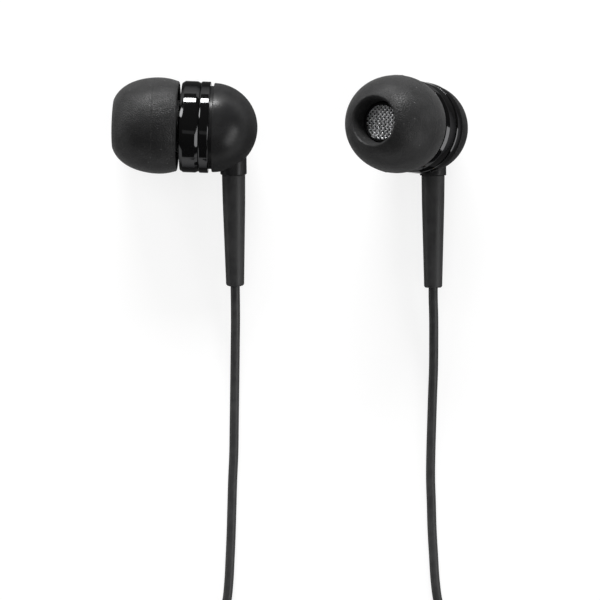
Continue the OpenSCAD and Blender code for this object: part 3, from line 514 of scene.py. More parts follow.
def dress(piece, material, slot, body, *stands_for):
    """Gives a piece its finish, the body it moves with and the nodes it stands for."""
    piece.data.materials.clear()
    piece.data.materials.append(material)
    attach(piece, body)
    if stands_for:
        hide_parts(*stands_for)
    return piece


def redress(material, *names):
    """A finish for the loudspeaker's parts that keep their own shape."""
    for name in names:
        for side in SIDES:
            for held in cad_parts[side + "_" + name].material_slots:
                held.material = material


# Enamelled copper: bright and coppery, a little darker in patches
enamel, *_ = grained("enamelled_copper", size=0.05, low=(0.60, 0.25, 0.11),
                     high=(0.78, 0.36, 0.17), rough=(0.22, 0.34), bump=(0.2, 0.004),
                     metallic=1.0, coat=0.6)

# Plated steel: fine brushed lines and a faint grey bloom
plated, tree, shader, mm = new_finish("plated_steel", metallic=1.0)
drawn = add(tree, "ShaderNodeMapping", {"Vector": mm, "Scale": (1.5, 30, 1.5)})
lines = add(tree, "ShaderNodeTexNoise", {"Vector": drawn.outputs[0], "Scale": 1.0, "Detail": 3.0})
skin = effect(tree, grain, {"Vector": mm, "Size": 0.12})
grey = tone(tree, skin.outputs["Patches"], (0.50, 0.50, 0.52), (0.63, 0.63, 0.65))
tree.links.new(grey, shader.inputs["Base Color"])
roughness(tree, shader, lines.outputs["Fac"], 0.22, 0.42)
relief(tree, shader, lines.outputs["Fac"], 0.25, 0.004)

# Nickelled magnet: a darker plate with a fine cast texture under it
nickel, *_ = grained("nickelled_magnet", size=0.16, low=(0.32, 0.32, 0.34),
                     high=(0.42, 0.42, 0.43), rough=(0.16, 0.34), bump=(0.3, 0.01),
                     by="Height", metallic=1.0)

# Diaphragm film: thin amber polyester with a soft shimmer
film, *_ = grained("polyester_film", size=0.3, low=(0.46, 0.30, 0.11), high=(0.60, 0.41, 0.18),
                   rough=(0.18, 0.30), bump=(0.15, 0.006), ior=1.6, coat=0.4)

# Moulded frame: dark glass-filled plastic, slightly streaky
filled, *_ = grained("glass_filled_plastic", size=0.14, low=(0.018, 0.018, 0.020),
                     high=(0.034, 0.034, 0.037), rough=(0.42, 0.58), bump=(0.4, 0.015),
                     specks=(0.25, 0.3, 0.16), ior=1.52)

# Open foam: pale struts, with painted shade in the cells' mouths between them
foam, tree, shader, mm = new_finish("open_foam", ior=1.4, sheen=0.25)
cells = add(tree, "ShaderNodeTexVoronoi", {"Vector": mm, "Scale": 6.0}, feature="DISTANCE_TO_EDGE")
struts_over_shaded_cells = smooth(tree, cells.outputs["Distance"], 0.02, 0.22, 1.0, 0.0)
# Painted shade: the cells' mouths are near black, and only the struts keep the foam's grey
grey = tone(tree, struts_over_shaded_cells, (0.008, 0.008, 0.008), (0.055, 0.055, 0.057))
tree.links.new(grey, shader.inputs["Base Color"])
shader.inputs["Roughness"].default_value = 0.9
relief(tree, shader, struts_over_shaded_cells, 0.8, 0.06)

# Pressed felt: pale tangled fibres
felt, tree, shader, mm = new_finish("pressed_felt", ior=1.4, sheen=0.4)
warp = add(tree, "ShaderNodeTexNoise", {"Vector": mm, "Scale": 3.0, "Detail": 3.0,
           "Distortion": 2.0})
hairs = add(tree, "ShaderNodeTexWave", {"Vector": warp.outputs["Color"], "Scale": 14.0,
            "Distortion": 6.0, "Detail": 3.0})
pale = tone(tree, hairs.outputs["Fac"], (0.46, 0.44, 0.39), (0.68, 0.66, 0.60))
tree.links.new(pale, shader.inputs["Base Color"])
shader.inputs["Roughness"].default_value = 0.95
relief(tree, shader, hairs.outputs["Fac"], 0.7, 0.03)

# Terminal board: green lacquer over glass cloth, seen as a faint weave
board, tree, shader, mm = new_finish("lacquered_board", ior=1.55, coat=0.5)
across = add(tree, "ShaderNodeTexWave", {"Vector": mm, "Scale": 4.0}, bands_direction="X")
along = add(tree, "ShaderNodeTexWave", {"Vector": mm, "Scale": 4.0}, bands_direction="Y")
cloth = reckon(tree, "MULTIPLY", across.outputs["Fac"], along.outputs["Fac"])
green = tone(tree, cloth, (0.012, 0.085, 0.030), (0.022, 0.125, 0.045))
tree.links.new(green, shader.inputs["Base Color"])
roughness(tree, shader, cloth, 0.24, 0.34)
relief(tree, shader, cloth, 0.2, 0.01)

redress(plated, "driver_cover", "pole_plate", "steel_cup")
redress(nickel, "magnet")
redress(film, "diaphragm")
redress(filled, "driver_frame")
redress(board, "terminal_board")
redress(enamel, "lead_wires")

# A soft foam ring seals the cover to the shell, and a felt ring damps the vents behind
seal = [(3.75, 3.0, 0.06), (4.5, 3.0, 0.06), (4.48, 3.125), (4.5, 3.25, 0.06),
        (3.75, 3.25, 0.06), (3.77, 3.125)]
damper = [(3.2, 0.45, 0.03), (3.8, 0.46), (4.4, 0.45, 0.03), (4.4, 0.6, 0.03), (3.8, 0.59),
          (3.2, 0.6, 0.03)]
for side in SIDES:
    ring = turned(side + "_foam_seal", seal, TURN[side])
    dress(ring, foam, "foam", "earphones", side + "_driver_gasket")
    ring = turned(side + "_felt_ring", damper, TURN[side])
    dress(ring, felt, "felt", "earphones", side + "_rear_felt")

# The coil is wound of 0.06 mm wire, so its wall is a row of fine rounded turns
WIRE = 0.06
VOICE_TOP, VOICE_TALL = 2.22, 1.02
VOICE_IN, VOICE_OUT = 2.30, 2.46
turns = round(VOICE_TALL / WIRE)
rows = [(VOICE_IN, VOICE_TOP - VOICE_TALL), (VOICE_IN, VOICE_TOP)]
for i in range(turns):
    top = VOICE_TOP - i * VOICE_TALL / turns
    rows += [(VOICE_OUT - WIRE / 4, top), (VOICE_OUT, top - WIRE / 4),
             (VOICE_OUT, top - WIRE * 3 / 4), (VOICE_OUT - WIRE / 4, top - WIRE)]
for side in SIDES:
    coil = turned(side + "_wound_coil", rows, TURN[side], 64)
    dress(coil, enamel, "copper_wire", "earphones", side + "_voice_coil")

# ---- Rear shells ----
# The satin black back of each earpiece: a hollow dome with a spigot at its open end that
# carries the two rings, and a short neck below, moulded in one piece of ABS.

# The neck's mouth on the side of the dome, with its axis along the cord
NECK = Matrix.Translation((0, -5.9, -2.82)) @ Matrix.Rotation(math.radians(92.6), 4, "X")


def carve(piece, tool, way):
    """Joins a tool to a piece or cuts it out of it, and removes the tool."""
    step = piece.modifiers.new(way.lower(), "BOOLEAN")
    step.operation = way
    step.solver = "EXACT"
    step.object = tool
    bpy.context.view_layer.update()
    seen = piece.evaluated_get(bpy.context.evaluated_depsgraph_get())
    result = bpy.data.meshes.new_from_object(seen)
    piece.modifiers.remove(step)
    old, piece.data = piece.data, result
    name = old.name
    bpy.data.meshes.remove(old)
    result.name = name
    bpy.data.objects.remove(tool)


def recrisp(piece, sharp=30):
    """Smooth shading with crisp edges after a joint or a cut, and no stray points."""
    build = bmesh.new()
    build.from_mesh(piece.data)
    bmesh.ops.remove_doubles(build, verts=build.verts, dist=1e-7)
    bmesh.ops.dissolve_degenerate(build, edges=build.edges, dist=1e-7)
    build.to_mesh(piece.data)
    build.free()
    piece.data.shade_smooth()
    piece.data.set_sharp_from_angle(angle=math.radians(sharp))


# Satin ABS: an even spark-eroded grain, rubbed a little smoother in places
satin, *_ = grained("satin_black_abs", size=0.07, low=(0.0130, 0.0130, 0.0134),
                    high=(0.0185, 0.0185, 0.019), rough=(0.31, 0.26, 1.0), bump=(0.30, 0.010),
                    specks=(0.7, 0.25, 0.10), ior=1.32)

DOME_R = 5.7
CAVITY_R = 4.72
SPIGOT_R = 5.15
NECK_R = 1.7
CORE_HOLE = 0.97


def arc(radius, angles):
    """Profile points on a circle round the origin, at angles in degrees."""
    return [(radius * math.cos(math.radians(a)), radius * math.sin(math.radians(a)))
            for a in angles]


dome = [(0, -DOME_R)] + arc(DOME_R, range(-87, 0, 3))
dome += [(DOME_R, -0.02, 0.10), (5.31, -0.02), (5.31, 0.4), (SPIGOT_R, 0.4), (SPIGOT_R, 2.7, 0.1)]
dome += [(CAVITY_R, 2.7)] + arc(CAVITY_R, range(0, -90, -4)) + [(0, -CAVITY_R)]
neck = [(0, -2.6), (NECK_R, -2.6), (NECK_R, 0, 0.12), (0, 0)]
bore = [(0, -2.9), (1.25, -2.9), (1.25, -2.6), (CORE_HOLE, -2.6), (CORE_HOLE, 0.5), (0, 0.5)]
for side in SIDES:
    at_neck = TURN[side] @ NECK
    shell = turned(side + "_dome", dome, TURN[side], 144)
    carve(shell, turned("neck", neck, at_neck, 72), "UNION")
    carve(shell, turned("bore", bore, at_neck, 72), "DIFFERENCE")
    recrisp(shell)
    dress(shell, satin, "satin_black", "earphones", side + "_rear_shell")

# ---- Glossy rings, front faces and nozzles ----
# Two polished black rings round the spigot: a narrow trim ring, and the front shell with
# its rounded face, its nozzle and the barb that holds the soft tip. Moulded ABS with a
# thin black bright plating, pressed on over the spigot.

gloss, tree, shader, mm = new_finish("black_plated_abs", metallic=0.93, ior=1.45)
shader.inputs["Specular Tint"].default_value = (0.1, 0.1, 0.1, 1)
skin = effect(tree, grain, {"Vector": mm, "Size": 0.35})
specks = effect(tree, dust, {"Vector": mm, "Spacing": 0.9, "Amount": 0.18})
plate = tone(tree, specks.outputs["Mask"], (0.052, 0.052, 0.053), (0.16, 0.16, 0.16))
tree.links.new(plate, shader.inputs["Base Color"])
roughness(tree, shader, skin.outputs["Patches"], 0.05, 0.085)
relief(tree, shader, skin.outputs["Height"], 0.05, 0.006)

RING_R = 5.85
RING_IN = 5.17
NOZZLE_IN, NOZZLE_R, BARB_R = 1.9, 2.3, 2.55
trim = [(RING_IN, 0.4), (5.78, 0.4, 0.03), (RING_R, 0.5, 0.03), (RING_R, 1.48, 0.05),
        (5.76, 1.62, 0.03), (RING_IN, 1.62)]
front = [
    (NOZZLE_IN, 3.25), (NOZZLE_IN, 10.5), (2.27, 10.5), (2.27, 10.71), (2.14, 10.71, 0.015),
    (2.16, 10.8, 0.06), (2.45, 10.8, 0.06), (BARB_R, 10.65, 0.06), (BARB_R, 9.7, 0.06),
    (NOZZLE_R, 9.2, 0.1), (NOZZLE_R, 4.05, 0.2), (5.59, 4.05, 0.05), (RING_R, 3.63, 0.12),
    (RING_R, 2.08, 0.12), (5.66, 1.66, 0.04), (5.4, 1.66), (RING_IN, 1.66), (RING_IN, 2.72),
    (CAVITY_R, 2.72), (CAVITY_R, 3.25),
]
for side in SIDES:
    ring = turned(side + "_trim_ring_gloss", trim, TURN[side], 144)
    dress(ring, gloss, "gloss_black", "earphones", side + "_trim_ring")
    face = turned(side + "_front_and_nozzle", front, TURN[side], 144)
    dress(face, gloss, "gloss_black", "earphones", side + "_front_shell")

# ---- Grilles ----
# A disc of plain-woven stainless wire cloth, rolled flat and cut on the bias, held in the
# nozzle's mouth by its turned-in lip, in front of a thin plug of acoustic foam.

wire, tree, shader, skin = grained("stainless_wire", size=0.06, low=(0.42, 0.42, 0.425),
                                   high=(0.60, 0.60, 0.61), rough=(0.30, 0.42),
                                   bump=(0.15, 0.003), metallic=1.0)
dull = add(tree, "ShaderNodeMapRange", {"Value": skin.outputs["Patches"], "To Min": 0.85,
           "To Max": 0.6})
tree.links.new(dull.outputs[0], shader.inputs["Metallic"])


def wire_cloth(sizes, material):
    """Geometry nodes for plain-woven cloth cut to a disc, in millimetres, round the origin."""
    tree = bpy.data.node_groups.new("wire_cloth", "GeometryNodeTree")
    for label, value in sizes.items():
        socket = tree.interface.new_socket(name=label, in_out="INPUT",
                                           socket_type="NodeSocketFloat")
        socket.default_value = value
    tree.interface.new_socket(name="Cloth", in_out="OUTPUT", socket_type="NodeSocketGeometry")
    given = tree.nodes.new("NodeGroupInput").outputs
    result = tree.nodes.new("NodeGroupOutput")
    radius, pitch = given["Radius"], given["Pitch"]
    thin = reckon(tree, "MULTIPLY", given["Wire"], 0.5)

    # A row of straight wires a pitch apart, cut off at the disc's edge
    half = reckon(tree, "FLOOR", reckon(tree, "DIVIDE", radius, pitch))
    rows = reckon(tree, "ADD", reckon(tree, "MULTIPLY", half, 2.0), 1.0)
    first = reckon(tree, "MULTIPLY", reckon(tree, "MULTIPLY", half, -1.0), pitch)
    start = add(tree, "ShaderNodeCombineXYZ", {"Y": first})
    gap = add(tree, "ShaderNodeCombineXYZ", {"Y": pitch})
    places = add(tree, "GeometryNodeMeshLine", {"Count": rows, "Start Location": start.outputs[0],
                 "Offset": gap.outputs[0]})
    low = add(tree, "ShaderNodeCombineXYZ", {"X": reckon(tree, "MULTIPLY", radius, -1.0)})
    high = add(tree, "ShaderNodeCombineXYZ", {"X": radius})
    straight = add(tree, "GeometryNodeCurvePrimitiveLine", {"Start": low.outputs[0],
                   "End": high.outputs[0]})
    fine = add(tree, "GeometryNodeResampleCurve", {"Curve": straight.outputs[0],
               "Count": reckon(tree, "MULTIPLY", rows, 8.0)})
    laid = add(tree, "GeometryNodeInstanceOnPoints", {"Points": places.outputs[0],
               "Instance": fine.outputs[0]})
    wires = add(tree, "GeometryNodeRealizeInstances", {0: laid.outputs[0]})
    here = add(tree, "GeometryNodeInputPosition")
    parts = add(tree, "ShaderNodeSeparateXYZ", {0: here.outputs[0]})
    x, y = parts.outputs[0], parts.outputs[1]
    squares = reckon(tree, "MULTIPLY", x, x), reckon(tree, "MULTIPLY", y, y)
    far = reckon(tree, "SQRT", reckon(tree, "ADD", *squares))
    outside = add(tree, "FunctionNodeCompare", {0: far, 1: radius}, operation="GREATER_THAN")
    cut = add(tree, "GeometryNodeDeleteGeometry", {0: wires.outputs[0], 1: outside.outputs[0]},
              domain="POINT")

    # Each wire rises and falls over the crossing ones, and the crossing set is the same turned
    angles = [reckon(tree, "DIVIDE", reckon(tree, "MULTIPLY", at, math.pi), pitch) for at in (x, y)]
    waves = [reckon(tree, "COSINE", angle) for angle in angles]
    wave = reckon(tree, "MULTIPLY", reckon(tree, "MULTIPLY", *waves), thin)
    lift = add(tree, "ShaderNodeCombineXYZ", {"Z": wave})
    weft = add(tree, "GeometryNodeSetPosition", {"Geometry": cut.outputs[0],
               "Offset": lift.outputs[0]})
    section = add(tree, "GeometryNodeCurvePrimitiveCircle", {"Resolution": 10, "Radius": thin})
    round_wire = add(tree, "GeometryNodeCurveToMesh", {"Curve": weft.outputs[0],
                     "Profile Curve": section.outputs[0], "Fill Caps": True})
    crossed = add(tree, "GeometryNodeTransform", {"Geometry": round_wire.outputs[0],
                  "Rotation": (math.pi, 0, math.pi / 2)})
    both = add(tree, "GeometryNodeJoinGeometry")
    tree.links.new(round_wire.outputs[0], both.inputs[0])
    tree.links.new(crossed.outputs[0], both.inputs[0])
    flat = add(tree, "ShaderNodeCombineXYZ", {"X": 1.0, "Y": 1.0, "Z": given["Flatness"]})
    rolled = add(tree, "GeometryNodeTransform", {"Geometry": both.outputs[0],
                 "Scale": flat.outputs[0]})
    whole = add(tree, "GeometryNodeRealizeInstances", {0: rolled.outputs[0]})
    finish = add(tree, "GeometryNodeSetMaterial", {"Geometry": whole.outputs[0],
                 "Material": material})
    tree.links.new(finish.outputs[0], result.inputs[0])
    return tree


def woven_disc(name, tree):
    """The cloth as a plain mesh."""
    holder = bpy.data.objects.new(name, bpy.data.meshes.new(name + "_seed"))
    bpy.context.scene.collection.objects.link(holder)
    weave = holder.modifiers.new("wire_cloth", "NODES")
    weave.node_group = tree
    for item in tree.interface.items_tree:
        if item.in_out == "INPUT":
            weave[item.identifier] = item.default_value
    bpy.context.view_layer.update()
    seen = holder.evaluated_get(bpy.context.evaluated_depsgraph_get())
    mesh = bpy.data.meshes.new_from_object(seen)
    holder.modifiers.remove(weave)
    holder.data = mesh
    mesh.name = name
    mesh.shade_smooth()
    return holder


# The cloth's turn on the nozzle's axis, in degrees, and its height there
CLOTH = {"Radius": 2.24, "Pitch": 0.42, "Wire": 0.235, "Flatness": 0.42}
BIAS, CLOTH_AT = 40, 10.6
pattern = wire_cloth(CLOTH, wire)
foam_plug = [(0, 9.7), (1.88, 9.7, 0.12), (1.86, 10.1), (1.88, 10.5, 0.14), (1.2, 10.47), (0, 10.44)]
for side in SIDES:
    cloth = woven_disc(side + "_wire_cloth", pattern)
    seat = Matrix.Translation((0, 0, CLOTH_AT)) @ Matrix.Rotation(math.radians(BIAS), 4, "Z")
    cloth.data.transform(TURN[side] @ seat)
    cloth.data.transform(Matrix.Scale(0.001, 4))
    dress(cloth, wire, "mesh", "earphones", side + "_nozzle_grille")
    plug = turned(side + "_foam_plug", foam_plug, TURN[side], 64)
    dress(plug, foam, "foam", "earphones", side + "_nozzle_foam")

# ---- Soft tips ----
# Single-flange tips of matte black silicone, moulded in one shot: a rounded nose that
# runs into a thin skirt, and a sleeve that grips the nozzle's barb. The mould's parting
# line shows as a fine ridge ahead of the widest part, with two small gate marks on it.

silicone, *_ = grained("matte_silicone", size=0.15, low=(0.0035, 0.0035, 0.0037),
                       high=(0.0105, 0.0105, 0.011), rough=(0.57, 0.43, 0.78),
                       bump=(0.85, 0.056), specks=(0.34, 0.75, 0.30), ior=1.45, sheen=0.03)

# The widest part's radius and height, the nose's bulge above it, and the wall's thickness
TIP_R, WIDEST = 6.15, 6.85
NOSE_POWER, NOSE_REACH = 3.2, 6.30
WALL = 0.55
# The rolled lip's top, diameter and rounding, and the sleeve's radii and ends
LIP, LIP_D, ROLL = 12.75, 6.3, 0.25
SLEEVE_IN, SLEEVE_OUT = 2.6, 3.3
SLEEVE_FROM, SLEEVE_TO = 4.35, 10.85
# The heights of the skirt's rim and of the parting ridge
RIM_AT = 4.45
SEAM = 7.6


def nose(r, inset):
    """The height of the nose's outside, or of its inside, at a radius."""
    fall = 1 - (r / (TIP_R - inset)) ** NOSE_POWER
    return WIDEST + (NOSE_REACH - 1.3 * inset) * math.sqrt(max(0, fall))


def skirt(t):
    """The skirt's radius from the widest part (0) to the rim (1)."""
    return TIP_R - 0.35 * t * t


def tip_profile():
    """Sleeve, rolled lip, nose with its parting ridge, skirt, rim, and back up inside."""
    lip_edge = LIP_D / 2 + ROLL * math.cos(math.radians(65))
    back = WIDEST - (RIM_AT + WALL / 2)
    rolled = arc(ROLL, [180 - k * 103 / 11 for k in range(12)])
    points = [(SLEEVE_IN, SLEEVE_FROM), (SLEEVE_IN, SLEEVE_TO)]
    points += [(LIP_D / 2 + x, LIP - ROLL + y) for x, y in rolled]
    radii = [TIP_R - (TIP_R - lip_edge) * (i / 36) ** 1.8 for i in range(36, -1, -1)]
    outside = [(r, nose(r, 0)) for r in radii if abs(nose(r, 0) - SEAM) > 0.06]
    for rise, out in ((0.05, 0), (0.025, 0.55), (0.0, 1.0), (-0.025, 0.55), (-0.05, 0)):
        h = SEAM + rise
        r = TIP_R * (1 - ((h - WIDEST) / NOSE_REACH) ** 2) ** (1 / NOSE_POWER)
        outside.append((r + 0.022 * out, h))
    points += sorted(outside, key=lambda p: -p[1])
    points += [(skirt(i / 16), WIDEST - back * i / 16) for i in range(1, 17)]
    rim = arc(WALL / 2, range(-15, -180, -15))
    points += [(skirt(1) - WALL / 2 + x, RIM_AT + WALL / 2 + y) for x, y in rim]
    points += [(skirt(i / 16) - WALL, WIDEST - back * i / 16) for i in range(16, 0, -1)]
    for i in range(25):
        r = (TIP_R - WALL) - (TIP_R - WALL - SLEEVE_OUT - 0.1) * (i / 24) ** 1.8
        points.append((r, nose(r, WALL)))
    points += [(SLEEVE_OUT, nose(SLEEVE_OUT + 0.1, WALL) - 0.2), (SLEEVE_OUT, SLEEVE_FROM)]
    return points


def gate_marks(r, h, a):
    """Two small swellings of the parting ridge, at 80 and 260 degrees."""
    if abs(h - SEAM) > 0.03 or r < 6:
        return 0
    near = min(abs(math.remainder(a - math.radians(g), 2 * math.pi)) for g in (80, 260))
    return 0.045 * math.exp(-(near / 0.03) ** 2)


for side in SIDES:
    tip = turned(side + "_soft_tip", tip_profile(), TURN[side], 180, gate_marks)
    dress(tip, silicone, "silicone", side + "_tip", side + "_ear_tip")

# ---- Strain reliefs ----
# Long tapered sleeves of soft black elastomer, moulded over each cord where it enters the
# neck, with a flange inside that takes the pull.

soft, *_ = grained("soft_touch_elastomer", size=0.08, low=(0.023, 0.023, 0.0235),
                   high=(0.033, 0.033, 0.0335), rough=(0.42, 0.52, 0.9), bump=(0.35, 0.014),
                   specks=(0.5, 0.35, 0.13), ior=1.45)

RELIEF_L, RELIEF_BORE = 14.5, 0.65
sleeve = [
    (RELIEF_BORE, -3.0), (1.2, -3.0), (1.2, -2.6), (0.95, -2.6), (0.95, 0), (1.5, 0, 0.12),
    (1.455, 3.5, 2.0), (1.17, RELIEF_L, 0.3), (RELIEF_BORE, RELIEF_L, 0.05),
]
for side in SIDES:
    guard = turned(side + "_tapered_relief", sleeve, TURN[side] @ NECK, 72)
    dress(guard, soft, "soft_black", "earphones", side + "_strain_relief")

# ---- Cords inside the reliefs ----
# Each cord runs up through its relief into the dome. There its jacket ends, and its cores
# are tied in a tight overhand knot that bears on the relief's flange and takes the pull.

CORE_D = 0.56
HELD_D = 1.18
for side in SIDES:
    at_neck = TURN[side] @ NECK
    line = [at_neck @ Vector((0, 0, RELIEF_L - 0.05 - 1.15 * k)) for k in range(16)]
    held = jacket_tube(side + "_cord_in_relief", line, HELD_D, 24)
    dress(held, jacket, "cord_jacket", "earphones", side + "_cord_knot")
    # An overhand knot is an opened trefoil: two rounds that cross each other three times
    line = [Vector((0, 0, -2.7)), Vector((0.2, -0.05, -2.95))]
    for k in range(5, 118):
        t = k / 10
        r = 0.55 + 0.22 * math.cos(1.5 * t)
        line.append(Vector((r * math.cos(t), r * math.sin(t), -3.45 - 0.16 * math.sin(1.5 * t))))
    line.append(Vector((0.1, 0, -3.75)))
    knot = jacket_tube(side + "_tied_cores", [at_neck @ p for p in line], CORE_D, 14)
    dress(knot, jacket, "cord_jacket", "earphones", side + "_cord_knot")

# ---- Straps round the coils ----
# A flat black strap closes each coil at the side towards the earpieces. It is woven
# nylon with a napped face, wrapped once round the turns with its end lapped on top.

nylon, tree, shader, mm = new_finish("woven_strap", ior=1.5, sheen=0.15)
across = add(tree, "ShaderNodeTexWave", {"Vector": mm, "Scale": 1.6, "Distortion": 0.6},
             bands_direction="X")
along = add(tree, "ShaderNodeTexWave", {"Vector": mm, "Scale": 1.6, "Distortion": 0.6},
            bands_direction="DIAGONAL")
threads = reckon(tree, "MULTIPLY", across.outputs["Fac"], along.outputs["Fac"])
skin = effect(tree, grain, {"Vector": mm, "Size": 0.06})
both = reckon(tree, "ADD", threads, skin.outputs["Height"])
black = tone(tree, threads, (0.008, 0.008, 0.0085), (0.032, 0.032, 0.034))
tree.links.new(black, shader.inputs["Base Color"])
roughness(tree, shader, threads, 0.82, 0.66)
relief(tree, shader, both, 0.6, 0.04)

STRAP_W, STRAP_T, STRAP_GAP = 3.0, 0.3, 0.05
BEND, EDGE = 0.8, 0.09


def strap(name, coil, cord_d, lap):
    """A closed band round a coil, seen along X as a rounded box, with its lapped end."""
    x, middle_y = coil["centre"]
    reach = cord_d / 2 + STRAP_GAP + STRAP_T
    low_y = middle_y + coil["outer"] - coil["pitch"] * coil["turns"] / coil["layers"] - reach
    high_y = middle_y + coil["outer"] + reach
    top = coil["low"] + coil["pitch"] * (coil["layers"] - 1) + reach
    loop = []
    for i, (y, z) in enumerate([(low_y, 0), (high_y, 0), (high_y, top), (low_y, top)]):
        inward = Vector((math.copysign(BEND, (low_y + high_y) / 2 - y),
                         math.copysign(BEND, top / 2 - z)))
        middle = Vector((y, z)) + inward
        for k in range(7):
            a = math.radians(-180 + 90 * i + 15 * k)
            out = Vector((math.cos(a), math.sin(a)))
            loop.append((middle + out * BEND, out))
    build = bmesh.new()
    half = STRAP_W / 2
    section = [(-half, STRAP_T), (-half, EDGE), (EDGE - half, 0), (half - EDGE, 0), (half, EDGE),
               (half, STRAP_T)]

    def band(run, closed):
        rings = []
        for p, out in run:
            ring = []
            for across, depth in section:
                at = p - out * depth
                ring.append(build.verts.new(Vector((x + across, at.x, at.y)) / 1000))
            rings.append(ring)
        count = len(rings)
        for i in range(count if closed else count - 1):
            one, other = rings[i], rings[(i + 1) % count]
            for k in range(len(section)):
                n = (k + 1) % len(section)
                build.faces.new((one[k], one[n], other[n], other[k]))
        if not closed:
            build.faces.new(rings[0])
            build.faces.new(list(reversed(rings[-1])))

    band(loop, True)
    lapped = [Vector((low_y + 0.9 + lap * k / 12, top + STRAP_T * 0.97)) for k in range(13)]
    band([(at, Vector((0, 1))) for at in lapped], False)
    return finished(name, build, 35)


ties = {}
for side in SIDES:
    ties[side] = strap(side + "_coil_strap", COILS[side], BRANCH_D, lap=4.2)
    dress(ties[side], nylon, "strap", "earphones", side + "_tie")
ties["main"] = strap("main_coil_strap", COILS["main"], MAIN_D, lap=5.6)
dress(ties["main"], nylon, "strap", "earphones", "main_tie")

# ---- Slider and split ----
# A flat rounded slider runs on the two thin cords and gathers them under the chin. The
# split is moulded over the joint of the three cords. Both are soft-touch elastomer.


def lozenge(name, stations, x, z):
    """A flat body with round sides along Y: stations are (y, half width, half thickness)."""
    build = bmesh.new()
    rings = []
    for y, wide, thick in stations:
        ring = []
        for end, across in ((-90, wide - thick), (90, thick - wide)):
            for dx, dz in arc(thick, [end + 180 * k / 19 for k in range(20)]):
                ring.append(build.verts.new(Vector((x + across + dx, y, z + dz)) / 1000))
        rings.append(ring)
    for one, other in zip(rings, rings[1:]):
        for k in range(40):
            n = (k + 1) % 40
            build.faces.new((one[k], one[n], other[n], other[k]))
    build.faces.new(rings[0])
    build.faces.new(list(reversed(rings[-1])))
    bmesh.ops.remove_doubles(build, verts=build.verts, dist=1e-7)
    return finished(name, build)


SLIDER_ENDS = (-100, -93)
HALF_W, HALF_T, ROUND = 2.9, 1.5, 0.8
CORDS_APART, CORD_HOLE = 2.4, 0.68
middle_y = sum(SLIDER_ENDS) / 2
stations = []
for k in range(7):
    a = math.radians(90 * k / 6)
    rise = -ROUND + ROUND * math.sin(a)
    stations.append((SLIDER_ENDS[0] + ROUND - ROUND * math.cos(a), HALF_W + rise, HALF_T + rise))
stations += [(2 * middle_y - y, wide, thick) for y, wide, thick in reversed(stations)]
slider = lozenge("cord_slider_body", stations, GATHER_X, GATHER_Z)
drill = [(0, -5), (CORD_HOLE, -5), (CORD_HOLE, 5), (0, 5)]
for x in (GATHER_X - CORDS_APART / 2, GATHER_X + CORDS_APART / 2):
    at = Matrix.Translation((x, middle_y, GATHER_Z)) @ Matrix.Rotation(math.radians(90), 4, "X")
    carve(slider, turned("hole", drill, at, 48), "DIFFERENCE")
recrisp(slider)
dress(slider, soft, "satin_black", "slider", "cord_slider")

# The split has rounded ends, and tapers from the two cords' width to the one's
stations = [(-101, 2.586, 1.386), (-101.12, 2.66, 1.46)]
stations += [(-101.8 - 10.4 * k / 16, 2.8 - 1.2 * k / 16, 1.6) for k in range(17)]
stations += [(-112.6, 1.55, 1.55), (-112.88, 1.47, 1.47), (-113, 1.386, 1.386)]
split = lozenge("moulded_split", stations, GATHER_X, GATHER_Z)
dress(split, soft, "soft_black", "earphones", "y_split")

# ---- Plug ----
# A straight 3.5 mm stereo plug: turned, gold-plated contacts nested in moulded
# insulators, in a soft-touch grip with a tapered, ringed strain relief behind it.

# The grip's length and radius, and the whole length behind the collar
GRIP_L, GRIP_R, PLUG_L = 16, 3.3, 27
PLUG_TURN = 13
PLUG = (Matrix.Translation((14.5, -128.5, GRIP_R))
        @ Matrix.Rotation(math.radians(-PLUG_TURN), 4, "Z")
        @ Matrix.Rotation(math.radians(-90), 4, "X") @ Matrix.Translation((0, 0, PLUG_L)))

# Gold plate with the fine rings that the lathe leaves
gold, tree, shader, mm = new_finish("gold_plate", metallic=1.0)
lathe = add(tree, "ShaderNodeMapping", {"Vector": mm, "Rotation": (0, 0, math.radians(PLUG_TURN))})
fine = add(tree, "ShaderNodeMapping", {"Vector": lathe.outputs[0], "Scale": (0.2, 38, 0.2)})
rings = add(tree, "ShaderNodeTexNoise", {"Vector": fine.outputs[0], "Scale": 1.0, "Detail": 2.0})
skin = effect(tree, grain, {"Vector": mm, "Size": 0.2})
yellow = tone(tree, skin.outputs["Patches"], (0.72, 0.50, 0.19), (0.82, 0.60, 0.27))
tree.links.new(yellow, shader.inputs["Base Color"])
roughness(tree, shader, rings.outputs["Fac"], 0.14, 0.30)
relief(tree, shader, rings.outputs["Fac"], 0.25, 0.003)

# Insulators: black moulded plastic, matt and even
insulator, *_ = grained("moulded_insulator", size=0.1, low=(0.011, 0.011, 0.011),
                        high=(0.018, 0.018, 0.018), rough=(0.38, 0.50), bump=(0.3, 0.01),
                        ior=1.5)

# The bore for the cord, and the relief's radius at the grip and at its end
BORE_R, RELIEF_R, RELIEF_END = 0.95, 2.1, 1.45
grip = [(1.8, 0), (1.8, -7.5), (BORE_R, -7.5), (BORE_R, -GRIP_L), (GRIP_R, -GRIP_L, 0.9)]
for k in range(6):
    z = -12.6 + 1.1 * k
    grip += [(GRIP_R, z - 0.22, 0.05), (GRIP_R - 0.13, z, 0.1), (GRIP_R, z + 0.22, 0.05)]
grip += [(GRIP_R, 0, 0.9)]
guard = [(BORE_R, -GRIP_L), (BORE_R, -PLUG_L, 0.1), (RELIEF_END, -PLUG_L, 0.3)]
for k in range(5):
    z = -25.6 + 1.75 * k
    r = RELIEF_END + (RELIEF_R - RELIEF_END) * (z + PLUG_L) / 9.5
    guard += [(r, z - 0.34, 0.06), (r - 0.24, z - 0.2, 0.05), (r - 0.24, z + 0.2, 0.05),
              (r, z + 0.34, 0.06)]
guard += [(RELIEF_R, -17.5, 0.4), (RELIEF_R, -GRIP_L)]

